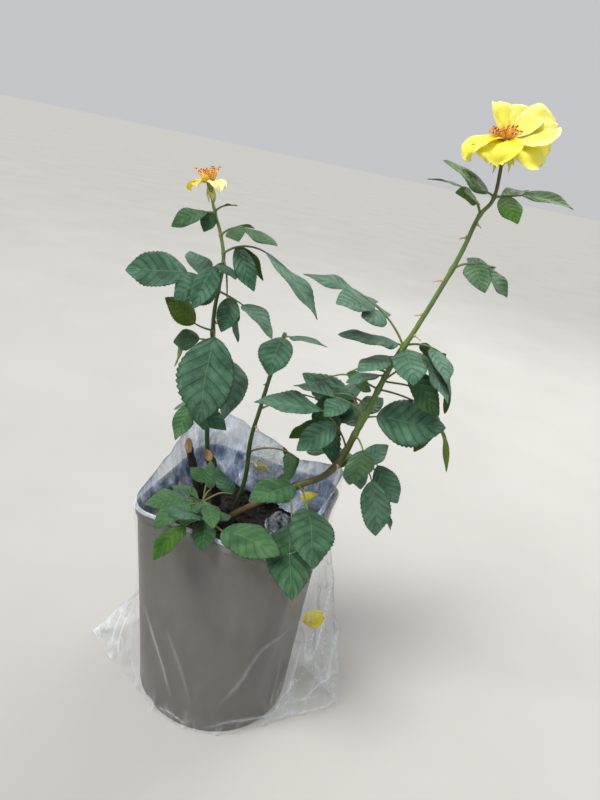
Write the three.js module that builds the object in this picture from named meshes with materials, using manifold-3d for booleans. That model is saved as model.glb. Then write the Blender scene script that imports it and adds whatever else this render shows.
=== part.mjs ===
// A yellow bush rose in a tall plastic pot, the pot standing in a bag of clear film.
// Millimetres and degrees, +Z up. The origin is the middle of the pot's flat underside, and the
// sides of the pot's square mouth run along X and Y. Angles in plan are measured from +X.
import * as THREE from 'three';
import { mergeVertices } from 'three/addons/utils/BufferGeometryUtils.js';
import ManifoldModule from 'manifold-3d';

const wasm = await ManifoldModule();
wasm.setup();

// Pot: a square mouth that runs down to a round foot
const POT_HEIGHT = 257;
const MOUTH_SIDE = 181;
const MOUTH_CORNER = 26;
const FOOT_RADIUS = 91;
const POT_WALL = 2.6;
const POT_FLOOR = 4;
const LIP_HEIGHT = 9;
const LIP_OUT = 2;
const NOTCH_RADIUS = 8;
const NOTCH_ANGLES = [-119, -29, 61, 151];
const POT_SEGMENTS = 48;

// Compost, up to the ground line of the plant
const GROUND = 214;
const GROUND_FLAT = 48;
const GROUND_EDGE = 209;

// Film bag: a sleeve with two flattened corners on the floor, turned in over the lip
const FILM = 1.2;
const FILM_CLEAR = 2;
const FILM_EAR_REACH = 166;
const FILM_EARS = [
  { angle: 7.5, top: 262, power: 1.0 },
  { angle: 187.5, top: 125, power: 1.25 },
];
const FILM_CREST = 262;
const FILM_CREST_BUMPS = [{ at: 138, rise: 40 }, { at: 14, rise: 24 }];
const FILM_TUCK = 222;

// What touching solids keep between them, and the smallest step that a solid keeps in its faces
const GAP = 0.3;
const FINEST = 0.05;

// Crown: the knuckle at ground level that every cane leaves
const CROWN = { at: [-25, -6], height: 26, foot: 17, tip: 14 };

// Canes: waypoints from the crown to the tip, with the radius at foot and tip
const CANES = {
  right: {
    foot: 4.7,
    tip: 1.9,
    steps: 20,
    way: [
      [-20, -5, 220], [45, 9, 278], [85, 17, 313], [104, 19, 380], [116, 20, 436],
      [133, 20, 490], [150, 20, 552], [157, 18, 591], [165, 17, 610], [162, 12, 645],
    ],
  },
  left: {
    foot: 3.3,
    tip: 1.9,
    steps: 15,
    way: [
      [-30, 2, 220], [-53, -1, 310], [-61, 0, 401], [-66, 1, 450],
      [-65, 4, 500], [-72, 5, 526], [-80, 5, 543], [-88, 6, 561],
    ],
  },
  middle: {
    foot: 2.9,
    tip: 2.2,
    steps: 9,
    way: [[-15, 0, 220], [-5, 5, 270], [-6, 5, 323], [-2, 4, 358], [4, 1, 403], [12, -2, 451]],
  },
};
const SHOOT = { foot: 2.4, tip: 1.8, way: [[-28, -12, 220], [-33, -30, 250], [-27, -56, 268], [-14, -84, 272]] };
const STUBS = {
  tall: { foot: 4.6, tip: 4, way: [[-34, -10, 220], [-49, -16, 259], [-66, -24, 316]] },
  short: { foot: 5.2, tip: 4.6, way: [[-26, -5, 220], [-35, -9, 279], [-47, -13, 303]] },
};
const STUB_CUT_TILT = 50;

// Prickles: cane, place along it, angle in plan, length
const PRICKLES = [
  ['right', 0.16, 60, 6], ['right', 0.24, -70, 6], ['right', 0.36, 150, 7], ['right', 0.53, -20, 9],
  ['right', 0.57, 190, 7], ['right', 0.63, 195, 9], ['right', 0.72, 170, 6], ['right', 0.76, -10, 5],
  ['left', 0.24, 160, 6], ['left', 0.4, 20, 6], ['left', 0.52, 200, 5], ['middle', 0.3, 190, 6],
  ['middle', 0.5, -20, 6], ['middle', 0.75, 150, 5],
];

// Leaves, cane by cane: place along the cane, heading in plan, rise, length of the stalk, how far
// it bends down, pairs of leaflets, length of the end leaflet, how far leaflets hang, roll of the
// leaf about its stalk, size of the side leaflets beside the end one, and where it differs their hang
const LEAVES = {
  left: [
    [0.87, -152, 10, 8, 20, 1, 36, 10, -20, 0.6],
    [0.885, -3, 45, 6, 10, 0, 18, 5, 0, 1],
    [0.714, 0, 50, 24, 50, 1, 36, 10, 10, 0.8],
    [0.615, 6, 42, 42, 60, 1, 84, 15, 0, 0.55, 48],
    [0.49, -148, 42, 34, 40, 2, 55, 0, -40, 0.74],
    [0.57, -125, 10, 12, 40, 1, 46, 45, 0, 0.7, 0],
    [0.49, -12, -5, 30, 10, 1, 44, 5, 0, 0.8, 55],
    [0.37, -172, 0, 18, -20, 0, 42, -45, -50, 1],
    [0.335, -170, 0, 12, 10, 0, 32, 0, -55, 1],
    [0.3, -174, 20, 30, 40, 0, 40, 50, -50, 1],
    [0.36, -62, 42, 30, 70, 0, 86, 40, 0, 1],
    [0.3, -14, 20, 24, 50, 1, 62, 45, 0, 0.6, 30],
    [0.215, -110, 10, 24, 40, 1, 40, 20, 0, 0.9],
  ],
  middle: [
    [0.985, -8, 15, 5, 10, 0, 42, -5, 0, 1],
    [0.97, -85, 30, 5, 10, 0, 42, 30, 0, 1],
    [0.34, 18, 35, 56, 70, 1, 38, 30, 0, 0.85],
  ],
  right: [
    [0.27, -149, 66, 54, 35, 1, 68, 12, 0, 0.75, 52],
    [0.3, -50, 0, 20, 40, 0, 46, 45, 0, 1],
    [0.25, -5, 28, 42, 100, 1, 76, 0, 65, 0.62, 30],
    [0.5, -176, 56, 70, 45, 2, 54, 0, 0, 0.85],
    [0.5, -156, 25, 4, 10, 0, 62, 5, 0, 1],
    [0.475, -130, 10, 6, 10, 0, 40, 5, 0, 1],
    [0.43, -147, 10, 4, 10, 0, 34, 5, 0, 1],
    [0.49, -14, 25, 20, 40, 1, 50, 25, 0, 0.9],
    [0.505, 16, 20, 42, 60, 1, 54, 45, 0, 0.8],
    [0.335, 0, 25, 10, 10, 0, 66, -5, 55, 1],
    [0.4, 14, -5, 56, 20, 1, 50, 50, 0, 0.6],
    [0.32, 131, 50, 26, 30, 1, 50, 20, -40, 0.8],
    [0.65, -5, 45, 26, 60, 1, 36, 15, 20, 0.95],
    [0.79, -166, 65, 22, 40, 1, 36, 10, 0, 0.8],
    [0.89, -166, 24, 5, 10, 0, 46, 12, -30, 1],
    [0.89, -5, 15, 20, 0, 1, 42, 5, 20, 0.85],
    [0.22, 95, 35, 44, 60, 1, 54, 20, 0, 0.85],
    [0.11, -68, 25, 66, 50, 0, 76, 20, 0, 1],
    [0.13, -148, 15, 3, 10, 0, 60, 5, 0, 1],
    [0.13, -62, 25, 52, 40, 0, 70, 12, 0, 1],
    [0.34, -172, 35, 34, 40, 1, 42, 20, 0, 0.8],
  ],
  low: [
    [0.33, -144, 50, 26, 50, 1, 46, 0, -15, 0.8],
    [0.68, -112, 25, 16, 20, 0, 42, 5, 0, 1],
    [0.98, -120, 8, 20, 20, 0, 44, 8, 0, 1],
    [0.9, -78, 20, 4, 10, 0, 44, 12, 0, 1],
    [0.99, -12, 6, 26, 20, 1, 64, 8, 15, 0.5],
    [0.75, -50, 60, 26, 50, 1, 26, 30, 0, 0.7],
    [0.45, 110, 70, 30, 40, 1, 28, 10, 0, 0.8],
  ],
};
const STALK_BENDS = 8;
const STALK = { foot: 1.2, tip: 0.8, sides: 3, steps: 4 };
const SIDE_LEAFLET_ANGLE = 62;
const SIDE_HANG = 0.8;
const PAIR_SPACING = 0.34;
const LEAFLET = { aspect: 0.74, thickness: 0.95, curl: 26, fold: 0.16, root: 2 };

// What a leaf that would touch something tries in turn: other headings, then other hangs
const HEADING_SHIFTS = [0, 13, -13, 26, -26];
const HANG_SHIFTS = [0, 12, -12, 24, -24, 38, -38];

// Open bloom: angle of a petal round the bloom, how far it rises, length, width, and its roll
const BLOOM_AXIS = [-0.16, -0.26, 1];
const BLOOM_PETALS = [
  [-100, -12, 28, 38, 0], [-150, -4, 35, 28, 0], [172, -8, 30, 26, 0], [8, 24, 42, 40, 42],
  [-12, -14, 37, 36, 50], [46, 46, 34, 34, 30], [122, 76, 31, 24, 0], [98, -12, 34, 34, 0],
];
const SEPALS = { count: 5, length: 24, width: 7, rise: -48 };
const HIP = { radius: 5.2, height: 11 };

const COLOURS = {
  pot: 0x6b645a,
  compost: 0x2c221b,
  film: 0xdfe6ea,
  cane: 0x55702f,
  oldWood: 0x3b2e25,
  leaf: 0x2f5a3c,
  lowLeaf: 0x3b6a35,
  petal: 0xf0dc3a,
  spent: 0xe0b040,
};

const UP = new THREE.Vector3(0, 0, 1);
const radians = THREE.MathUtils.degToRad;
const point = (values) => new THREE.Vector3(...values);

// The unit vector of a heading in plan and a rise above the level
function pointing(heading, rise) {
  const level = Math.cos(radians(rise));
  return new THREE.Vector3(
    level * Math.cos(radians(heading)),
    level * Math.sin(radians(heading)),
    Math.sin(radians(rise)),
  );
}

// The same small number between -1 and 1 for the same seed, every time
function wobble(seed) {
  const wave = Math.sin(seed * 12.9898) * 43758.5453;
  return 2 * (wave - Math.floor(wave)) - 1;
}

function turn(vector, axis, angle) {
  return vector.clone().applyAxisAngle(axis, radians(angle));
}

// Moves each vertex of a geometry to where place(vertex, index) says
function reshape(geometry, place) {
  const places = geometry.attributes.position;
  for (let i = 0; i < places.count; i += 1) {
    const moved = place(new THREE.Vector3().fromBufferAttribute(places, i), i);
    places.setXYZ(i, moved.x, moved.y, moved.z);
  }
  return geometry;
}

// A closed geometry as a solid that can be joined and cut
function solid(geometry) {
  geometry.deleteAttribute('normal');
  geometry.deleteAttribute('uv');
  const merged = mergeVertices(geometry, 1e-4);
  const corners = merged.index.array;
  const whole = [];
  for (let i = 0; i < corners.length; i += 3) {
    const [a, b, c] = [corners[i], corners[i + 1], corners[i + 2]];
    if (a !== b && b !== c && c !== a) whole.push(a, b, c);
  }
  return new wasm.Manifold(new wasm.Mesh({
    numProp: 3,
    vertProperties: Float32Array.from(merged.attributes.position.array),
    triVerts: Uint32Array.from(whole),
  }));
}

function join(solids) {
  return solids.reduce((whole, next) => whole.add(next));
}

// The largest separate piece of a solid
function largest(body) {
  const pieces = body.decompose();
  return pieces.reduce((best, next) => (next.volume() > best.volume() ? next : best));
}

function boxesMeet(a, b) {
  return [0, 1, 2].every((i) => a.min[i] <= b.max[i] && b.min[i] <= a.max[i]);
}

// True if a solid reaches into any of the solids already placed
function touches(body, placed) {
  const box = body.boundingBox();
  return placed.some((other) => boxesMeet(box, other.boundingBox())
    && !body.intersect(other).isEmpty());
}

// A round limb that tapers along a curve, with flat ends
function limb(curve, foot, tip, sides, steps) {
  const frames = curve.computeFrenetFrames(steps, false);
  const geometry = new THREE.CylinderGeometry(tip, foot, 1, sides, steps);
  return solid(reshape(geometry, (vertex) => {
    const step = Math.round((vertex.y + 0.5) * steps);
    return curve.getPointAt(step / steps)
      .addScaledVector(frames.normals[step], vertex.x)
      .addScaledVector(frames.binormals[step], -vertex.z);
  }));
}

function smoothCurve(points) {
  return new THREE.CatmullRomCurve3(points, false, 'catmullrom', 0.5);
}

// Half the width of a leaf at a share of its length
function leafOutline(along) {
  return Math.sin(Math.PI * along ** 0.9) ** 0.7;
}

// Half the width of a petal: narrow at its claw and broad near its far edge
function petalOutline(along) {
  return Math.sin(Math.PI * along ** 1.5) ** 0.55;
}

// A thin blade: a small sphere flattened along a spine that bends away from the blade's face
function blade(form) {
  const { root, out, face, length, width, thickness, curl, fold, outline, ribs, rings } = form;
  const across = new THREE.Vector3().crossVectors(face, out).normalize();
  const spine = [root.clone()];
  for (let k = 0; k < rings; k += 1) {
    const along = turn(out, across, curl * (k + 0.5) / rings);
    spine.push(spine[k].clone().addScaledVector(along, length / rings));
  }
  const geometry = new THREE.SphereGeometry(1, ribs, rings);
  return solid(reshape(geometry, (vertex) => {
    const ring = Math.round(Math.acos(THREE.MathUtils.clamp(vertex.y, -1, 1)) / Math.PI * rings);
    const place = spine[ring].clone();
    if (ring === 0 || ring === rings) return place;
    const round = Math.sin(Math.PI * ring / rings);
    const half = outline(ring / rings) * width / 2;
    const side = vertex.x / round;
    const lift = vertex.z / round * thickness / 2 + fold * half * Math.abs(side) ** 1.5;
    const up = turn(face, across, curl * ring / rings);
    return place.addScaledVector(across, side * half).addScaledVector(up, lift);
  }));
}

// A body of revolution whose section is bent to an outline: each profile entry is
// [radius at an angle in plan, height at that angle], as functions of the angle
function turned(profile, segments) {
  const flat = profile.map((entry, j) => new THREE.Vector2(entry === null ? 0 : 1, j));
  const geometry = new THREE.LatheGeometry(flat, segments);
  return (axisHeights) => solid(reshape(geometry, (vertex, i) => {
    const j = i % profile.length;
    if (profile[j] === null) return new THREE.Vector3(0, 0, axisHeights[j]);
    const angle = 2 * Math.PI * Math.floor(i / profile.length) / segments - Math.PI / 2;
    const [radius, height] = profile[j](angle);
    return new THREE.Vector3(radius * Math.cos(angle), radius * Math.sin(angle), height);
  }));
}

// Distance from the middle to the edge of a square with round corners
function squareReach(angle, half, corner) {
  const c = Math.abs(Math.cos(angle));
  const s = Math.abs(Math.sin(angle));
  const straight = half / Math.max(c, s);
  const inner = half - corner;
  if (straight * c <= inner || straight * s <= inner) return straight;
  const middle = inner * (c + s);
  return middle + Math.sqrt(Math.max(middle * middle - 2 * inner * inner + corner * corner, 0));
}

// The pot's outer face, without its lip
function potReach(angle, height) {
  const share = Math.min(height / POT_HEIGHT, 1);
  return (1 - share) * FOOT_RADIUS + share * squareReach(angle, MOUTH_SIDE / 2, MOUTH_CORNER);
}

// The inside of the pot from its floor up, a clearance further in
function potInside(clear, top) {
  const ring = (height) => (angle) => [potReach(angle, height) - POT_WALL - clear, height];
  const floor = POT_FLOOR + clear;
  return { rings: [null, ring(floor), ring(90), ring(GROUND_EDGE), ...top(ring)], floor };
}

function pot() {
  const ring = (out, height) => (angle) => [potReach(angle, height) + out, height];
  const under = POT_HEIGHT - LIP_HEIGHT;
  const outside = turned([
    null, ring(0, 0), ring(0, 90), ring(0, GROUND_EDGE), ring(0, under), ring(LIP_OUT, under + 1.5),
    ring(LIP_OUT, POT_HEIGHT), null,
  ], POT_SEGMENTS)({ 0: 0, 7: POT_HEIGHT });
  const { rings, floor } = potInside(0, (ringAt) => [ringAt(POT_HEIGHT + 1), null]);
  const cavity = turned(rings, POT_SEGMENTS)({ 0: floor, [rings.length - 1]: POT_HEIGHT + 1 });
  const notches = NOTCH_ANGLES.map((angle) => {
    const out = pointing(angle, 0);
    const cutter = new THREE.CylinderGeometry(NOTCH_RADIUS, NOTCH_RADIUS, 12, 10);
    const facing = new THREE.Quaternion().setFromUnitVectors(new THREE.Vector3(0, 1, 0), out);
    cutter.applyQuaternion(facing);
    cutter.translate(out.x * FOOT_RADIUS, out.y * FOOT_RADIUS, -2);
    return solid(cutter);
  });
  return [cavity, ...notches].reduce((body, cutter) => body.subtract(cutter), outside);
}

function compost() {
  const { rings, floor } = potInside(GAP, () => [() => [GROUND_FLAT, GROUND], null]);
  return turned(rings, POT_SEGMENTS)({ 0: floor, [rings.length - 1]: GROUND });
}

// How far a flattened corner of the bag pulls the film out: the tangent from its point to the pot
function earReach(ear, angle, height, radius) {
  if (height >= ear.top) return radius;
  const reach = radius + (FILM_EAR_REACH - radius) * (1 - height / ear.top) ** ear.power;
  const swing = Math.acos(radius / reach);
  const off = Math.abs(Math.atan2(Math.sin(angle - radians(ear.angle)), Math.cos(angle - radians(ear.angle))));
  return off < swing ? radius / Math.cos(off - swing) : radius;
}

function filmOuter(angle, height) {
  const free = Math.sin(Math.PI * Math.min(height / POT_HEIGHT, 1));
  const crease = 2.2 * (1 + Math.sin(5 * angle + height / 45)) * (0.25 + free);
  const round = potReach(angle, height) + FILM_CLEAR + crease;
  return Math.max(...FILM_EARS.map((ear) => earReach(ear, angle, height, round)));
}

// The height of the fold at the top of the film, which stands free at the back and the right
function filmCrest(angle) {
  const rise = FILM_CREST_BUMPS
    .map((bump) => bump.rise * Math.max(Math.cos(angle - radians(bump.at)), 0) ** 2);
  return FILM_CREST + Math.max(...rise) * (1 + 0.08 * Math.sin(9 * angle));
}

// A wall of film: what lies inside one set of rings and not inside the same rings drawn in
function filmWall(rings) {
  const low = (angle) => [rings[0](angle)[0], rings[0](angle)[1] - 1];
  const high = (angle) => [rings[rings.length - 1](angle)[0], rings[rings.length - 1](angle)[1] + 1];
  const drawnIn = [low, ...rings, high]
    .map((ring) => (angle) => [ring(angle)[0] - FILM, ring(angle)[1]]);
  const top = FILM_CREST + 20;
  const full = turned([null, ...rings, null], POT_SEGMENTS)({ 0: rings[0](0)[1], [rings.length + 1]: top });
  const core = turned([null, ...drawnIn, null], POT_SEGMENTS)({ 0: low(0)[1], [rings.length + 3]: top });
  return full.subtract(core);
}

// The bag's film: a wall outside the pot and one turned down inside it, which meet in the crest
function film() {
  const lip = POT_HEIGHT + 2;
  const outside = (height) => (angle) => [filmOuter(angle, height), height];
  const inside = (depth, height) => (angle) => [potReach(angle, height) - depth, height];
  const crest = (across) => (angle) => [potReach(angle, lip) + across, filmCrest(angle)];
  const tucked = POT_WALL + FILM_CLEAR;
  const overLip = (height) => (angle) => [potReach(angle, height) + LIP_OUT + FILM_CLEAR, height];
  const outer = filmWall([
    outside(GAP), outside(45), outside(125), outside(190),
    overLip(POT_HEIGHT - LIP_HEIGHT - 1), overLip(lip), crest(FILM),
  ]);
  const inner = filmWall([inside(tucked + 2, FILM_TUCK), inside(tucked, lip), crest(FILM / 2)]);
  return outer.add(inner);
}

function crown() {
  const [x, y] = CROWN.at;
  const line = new THREE.LineCurve3(
    new THREE.Vector3(x, y, GROUND + GAP),
    new THREE.Vector3(x, y, GROUND + GAP + CROWN.height),
  );
  return limb(line, CROWN.foot, CROWN.tip, 10, 1);
}

// A cane's curve, and the same cane a little fatter, which keeps what grows on it clear
function caneParts(cane, sides, steps) {
  const curve = smoothCurve(cane.way.map(point));
  return {
    curve,
    body: limb(curve, cane.foot, cane.tip, sides, steps),
    clear: limb(curve, cane.foot + GAP, cane.tip + GAP, sides, steps),
  };
}

function radiusAt(cane, at) {
  return cane.foot + (cane.tip - cane.foot) * at;
}

function prickle(curve, cane, at, heading, length) {
  const start = curve.getPoint(at);
  const out = pointing(heading, -12);
  const root = start.clone().addScaledVector(out, radiusAt(cane, at) * 0.3);
  const tip = start.clone().addScaledVector(out, radiusAt(cane, at) + length);
  return limb(new THREE.LineCurve3(root, tip), 2, 0.15, 4, 1);
}

// The stalk of one leaf and the places of its leaflets
function leafPlan(curve, cane, row, seed, headingShift) {
  const [at, mainHeading, rise, reach, bend, pairs, size, hang, roll, sideSize] = row;
  const sideHang = row[10] ?? hang * SIDE_HANG;
  const heading = mainHeading + headingShift;
  const level = pointing(heading, 0);
  const left = new THREE.Vector3().crossVectors(UP, level);
  const start = curve.getPoint(at);
  const stalk = [start.clone().addScaledVector(pointing(heading, rise), radiusAt(cane, at))];
  const ways = [pointing(heading, rise)];
  for (let i = 0; i < STALK_BENDS; i += 1) {
    const way = pointing(heading, rise - bend * (i + 0.5) / STALK_BENDS);
    stalk.push(stalk[i].clone().addScaledVector(way, reach / STALK_BENDS));
    ways.push(way);
  }
  const leaflets = [];
  const add = (share, angle, length) => {
    const count = leaflets.length;
    const place = share * STALK_BENDS;
    const step = Math.min(Math.floor(place), STALK_BENDS - 1);
    const root = stalk[step].clone().lerp(stalk[step + 1], place - step);
    const way = ways[step + 1];
    const across = turn(left, way, roll);
    const face = new THREE.Vector3().crossVectors(way, across);
    const swing = angle + 5 * wobble(seed + count);
    const flat = way.clone().multiplyScalar(Math.cos(radians(swing)))
      .addScaledVector(across, Math.sin(radians(swing)));
    const hinge = new THREE.Vector3().crossVectors(face, flat).normalize();
    const drop = (angle === 0 ? hang : sideHang) + 6 * wobble(seed + count + 0.5);
    leaflets.push(HANG_SHIFTS.map((shift) => ({
      root,
      out: turn(flat, hinge, drop + shift),
      face: turn(face, hinge, drop + shift),
      length: length * (1 + 0.06 * wobble(seed + count + 0.25)),
      sunk: angle === 0 ? LEAFLET.root : STALK.foot,
    })));
  };
  for (let k = 0; k < pairs; k += 1) {
    const share = Math.max(1 - (pairs - k) * PAIR_SPACING * size / reach, 0.12);
    const length = size * sideSize * (pairs === 1 || k > 0 ? 1 : 0.85);
    add(share, SIDE_LEAFLET_ANGLE, length);
    add(share, -SIDE_LEAFLET_ANGLE, length);
  }
  add(1, 0, size);
  return { start, stalk, leaflets };
}

function leaflet(plan, swell) {
  return blade({
    root: plan.root.clone().addScaledVector(plan.out, -plan.sunk - swell / 2),
    out: plan.out,
    face: plan.face,
    length: plan.length + plan.sunk + swell,
    width: plan.length * LEAFLET.aspect + swell,
    thickness: LEAFLET.thickness + swell,
    curl: LEAFLET.curl,
    fold: LEAFLET.fold,
    outline: leafOutline,
    ribs: 4,
    rings: 5,
  });
}

// One compound leaf: its stalk with every leaflet that has room, clear of all that is placed. The
// first heading at which all of it has room is taken, or else the one that leaves out the least.
function leaf(cane, form, row, seed, placed) {
  const room = placed.filter((other) => other !== cane.body);
  let best = { left: Infinity };
  for (const shift of HEADING_SHIFTS) {
    const plan = leafPlan(cane.curve, form, row, seed, shift);
    const line = smoothCurve([plan.start, ...plan.stalk]);
    const stalk = limb(line, STALK.foot, STALK.tip, STALK.sides, STALK.steps);
    if (touches(stalk, room)) continue;
    const free = plan.leaflets
      .map((ways) => ways.find((entry) => !touches(leaflet(entry, 2 * GAP), placed)))
      .filter((entry) => entry !== undefined);
    const left = plan.leaflets.length - free.length;
    if (left < best.left) best = { left, stalk, free };
    if (left === 0) break;
  }
  if (!best.stalk) return { body: null, left: 'all' };
  const blades = best.free.map((entry) => leaflet(entry, 0));
  const body = join([best.stalk, ...blades]).subtract(cane.clear);
  return { body: largest(body).simplify(FINEST), left: best.left };
}

// A frame to build a bloom on: its foot and the three directions of its own axes
function bloomFrame(foot, axis) {
  const up = axis.clone().normalize();
  const east = new THREE.Vector3(1, 0, 0).addScaledVector(up, -up.x).normalize();
  const north = new THREE.Vector3().crossVectors(up, east);
  const out = (angle, rise) => up.clone().multiplyScalar(Math.sin(radians(rise)))
    .addScaledVector(east, Math.cos(radians(rise)) * Math.cos(radians(angle)))
    .addScaledVector(north, Math.cos(radians(rise)) * Math.sin(radians(angle)));
  return { foot, up, out };
}

function hip(frame, radius, height) {
  const top = frame.foot.clone().addScaledVector(frame.up, height);
  return limb(new THREE.LineCurve3(frame.foot, top), radius * 0.55, radius, 8, 1);
}

// A ring of stamens as one cup with a toothed edge
function stamens(frame, from, foot, spread, height) {
  const sides = 10;
  const line = new THREE.LineCurve3(
    frame.foot.clone().addScaledVector(frame.up, from),
    frame.foot.clone().addScaledVector(frame.up, from + height),
  );
  const tuft = limb(line, foot, spread, sides, 1);
  const spikes = Array.from({ length: sides / 2 }, (unused, k) => {
    const out = frame.out(k * 720 / sides, 62);
    const root = line.v1.clone();
    return limb(new THREE.LineCurve3(root, root.clone().addScaledVector(out, height + from)), 1.6, 0.5, 3, 1);
  });
  return join([tuft, ...spikes]);
}

function petal(frame, from, [angle, rise, length, width, roll], curl, cup) {
  const out = frame.out(angle, rise);
  const face = turn(frame.out(angle, rise + 90), out, roll);
  return blade({
    root: frame.foot.clone().addScaledVector(frame.up, from),
    out,
    face,
    length,
    width,
    thickness: 1.1,
    curl,
    fold: cup,
    outline: petalOutline,
    ribs: 4,
    rings: 5,
  });
}

function sepals(frame, from, rise) {
  return Array.from({ length: SEPALS.count }, (unused, k) => {
    const angle = 20 + k * 360 / SEPALS.count;
    return blade({
      root: frame.foot.clone().addScaledVector(frame.up, from),
      out: frame.out(angle, rise),
      face: frame.out(angle, rise + 90),
      length: SEPALS.length + 4 * wobble(k),
      width: SEPALS.width,
      thickness: 1,
      curl: 20,
      fold: 0.1,
      outline: leafOutline,
      ribs: 4,
      rings: 4,
    });
  });
}

// What a bloom keeps off: its cane's end, a gap wider
function endClear(cane) {
  const ahead = cane.curve.getTangent(1).multiplyScalar(GAP);
  return cane.clear.add(cane.clear.translate(ahead.toArray()));
}

function openBloom(cane) {
  const foot = cane.curve.getPoint(1);
  const frame = bloomFrame(foot, point(BLOOM_AXIS));
  const heart = HIP.height - 2;
  return join([
    hip(frame, HIP.radius, HIP.height),
    stamens(frame, HIP.height - 1, 4, 12, 7),
    ...BLOOM_PETALS.map((row) => petal(frame, heart, row, 24, 0.22)),
    ...sepals(frame, heart - 3, SEPALS.rise),
  ]).subtract(endClear(cane)).simplify(3 * FINEST);
}

function spentBloom(cane) {
  const foot = cane.curve.getPoint(1);
  const frame = bloomFrame(foot, cane.curve.getTangent(1).add(new THREE.Vector3(0.1, -0.1, 0.3)));
  const heart = HIP.height - 2;
  const petals = [[-165, 50, 22, 17, 0], [-110, 62, 20, 15, 0], [-30, 40, 19, 16, 0], [120, 55, 18, 14, 0]];
  return join([
    hip(frame, HIP.radius * 0.95, HIP.height),
    stamens(frame, HIP.height - 1, 4, 10, 9),
    ...petals.map((row) => petal(frame, heart, row, 6, 0.3)),
    ...sepals(frame, heart - 3, -62),
  ]).subtract(endClear(cane)).simplify(3 * FINEST);
}

// A dead stub: a short thick cane whose end is sawn off at a slant
function stub(form) {
  const curve = smoothCurve(form.way.map(point));
  const body = limb(curve, form.foot, form.tip, 8, 8);
  const end = curve.getPoint(1);
  const block = new THREE.BoxGeometry(40, 40, 20);
  block.translate(0, 0, 10);
  block.rotateX(radians(STUB_CUT_TILT));
  block.translate(end.x, end.y, end.z - 5);
  return largest(body.subtract(solid(block)));
}

const rose = new THREE.Group();
const placed = [];

// Adds one solid to the group as a mesh of its own
function place(name, body, colour, roughness, opacity = 1) {
  const data = body.getMesh();
  const geometry = new THREE.BufferGeometry();
  geometry.setAttribute('position', new THREE.BufferAttribute(data.vertProperties, 3));
  geometry.setIndex(new THREE.BufferAttribute(data.triVerts, 1));
  geometry.computeVertexNormals();
  const material = new THREE.MeshStandardMaterial({
    color: colour,
    roughness,
    metalness: 0,
    opacity,
    transparent: opacity < 1,
  });
  const mesh = new THREE.Mesh(geometry, material);
  mesh.name = name;
  rose.add(mesh);
  placed.push(body);
}

place('pot', pot(), COLOURS.pot, 0.6);
place('compost', compost(), COLOURS.compost, 0.95);
place('film_bag', film(), COLOURS.film, 0.15, 0.3);

const crownBody = crown();
place('crown', crownBody, COLOURS.oldWood, 0.9);
let growthClear = crownBody.add(crownBody.translate([0, 0, GAP]));

// Each limb starts where it leaves the crown, and keeps clear of those before it
const limbs = {};
function grow(name, cane, sides, steps, colour) {
  const parts = caneParts(cane, sides, steps);
  const prickles = PRICKLES.filter((row) => row[0] === name)
    .map((row) => prickle(parts.curve, cane, row[1], row[2], row[3]));
  const trimmed = largest(join([parts.body, ...prickles]).subtract(growthClear)).simplify(FINEST);
  growthClear = growthClear.add(parts.clear);
  limbs[name] = { ...parts, body: trimmed };
  place(name === 'low' ? 'low_shoot' : `cane_${name}`, trimmed, colour, 0.6);
}
Object.entries(CANES).forEach(([name, cane]) => grow(name, cane, 8, cane.steps, COLOURS.cane));
grow('low', SHOOT, 6, 8, COLOURS.cane);
Object.entries(STUBS).forEach(([name, form]) => {
  place(`cut_stub_${name}`, largest(stub(form).subtract(growthClear)), COLOURS.oldWood, 0.9);
});

place('open_bloom', openBloom(limbs.right), COLOURS.petal, 0.5);
place('spent_bloom', spentBloom(limbs.left), COLOURS.spent, 0.6);

// The leaves, each a node of its own that keeps clear of all that is placed before it
const leftOut = [];
Object.entries(LEAVES).forEach(([name, rows], group) => {
  const cane = name === 'low' ? SHOOT : CANES[name];
  rows.forEach((row, k) => {
    const label = `leaf_${name}_${k + 1}`;
    const { body, left } = leaf(limbs[name], cane, row, 100 * (group + 1) + 7 * k, placed);
    if (left !== 0) leftOut.push(`${label}: ${left}`);
    if (body) place(label, body, name === 'low' ? COLOURS.lowLeaf : COLOURS.leaf, 0.5);
  });
});
rose.userData.leftOut = leftOut;

export default rose;
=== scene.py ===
"""A yellow bush rose in a plastic pot that stands in a bag of clear film.

Sizes are in millimetres and degrees until a mesh is made, which is in metres. The origin is the
middle of the pot's flat underside, +Z is up, and angles in plan are measured from +X. The canes,
the leaves and the bag grow by the rules of the part's source, written again here in finer detail.
"""
import contextlib
import random
from math import acos, atan2, cos, degrees, exp, pi, radians, sin, sqrt, tan

import bmesh
import bpy
from mathutils import Matrix, Quaternion, Vector
from mathutils.noise import noise


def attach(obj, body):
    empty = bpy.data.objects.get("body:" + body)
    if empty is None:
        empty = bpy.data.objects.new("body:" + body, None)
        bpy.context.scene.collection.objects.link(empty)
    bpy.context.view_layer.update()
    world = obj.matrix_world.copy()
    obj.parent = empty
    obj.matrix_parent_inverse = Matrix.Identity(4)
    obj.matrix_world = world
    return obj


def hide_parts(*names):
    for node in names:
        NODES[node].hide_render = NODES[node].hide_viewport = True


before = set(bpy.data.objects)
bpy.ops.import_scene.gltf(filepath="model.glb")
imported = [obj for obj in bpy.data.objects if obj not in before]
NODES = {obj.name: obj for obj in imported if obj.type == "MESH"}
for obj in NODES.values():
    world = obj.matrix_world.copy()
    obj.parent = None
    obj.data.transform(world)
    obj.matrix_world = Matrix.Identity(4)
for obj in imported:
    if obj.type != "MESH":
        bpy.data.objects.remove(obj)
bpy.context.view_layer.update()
MILLIMETRE = 0.001
UP = Vector((0, 0, 1))


def vectors(points):
    return [Vector(p) for p in points]


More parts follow.
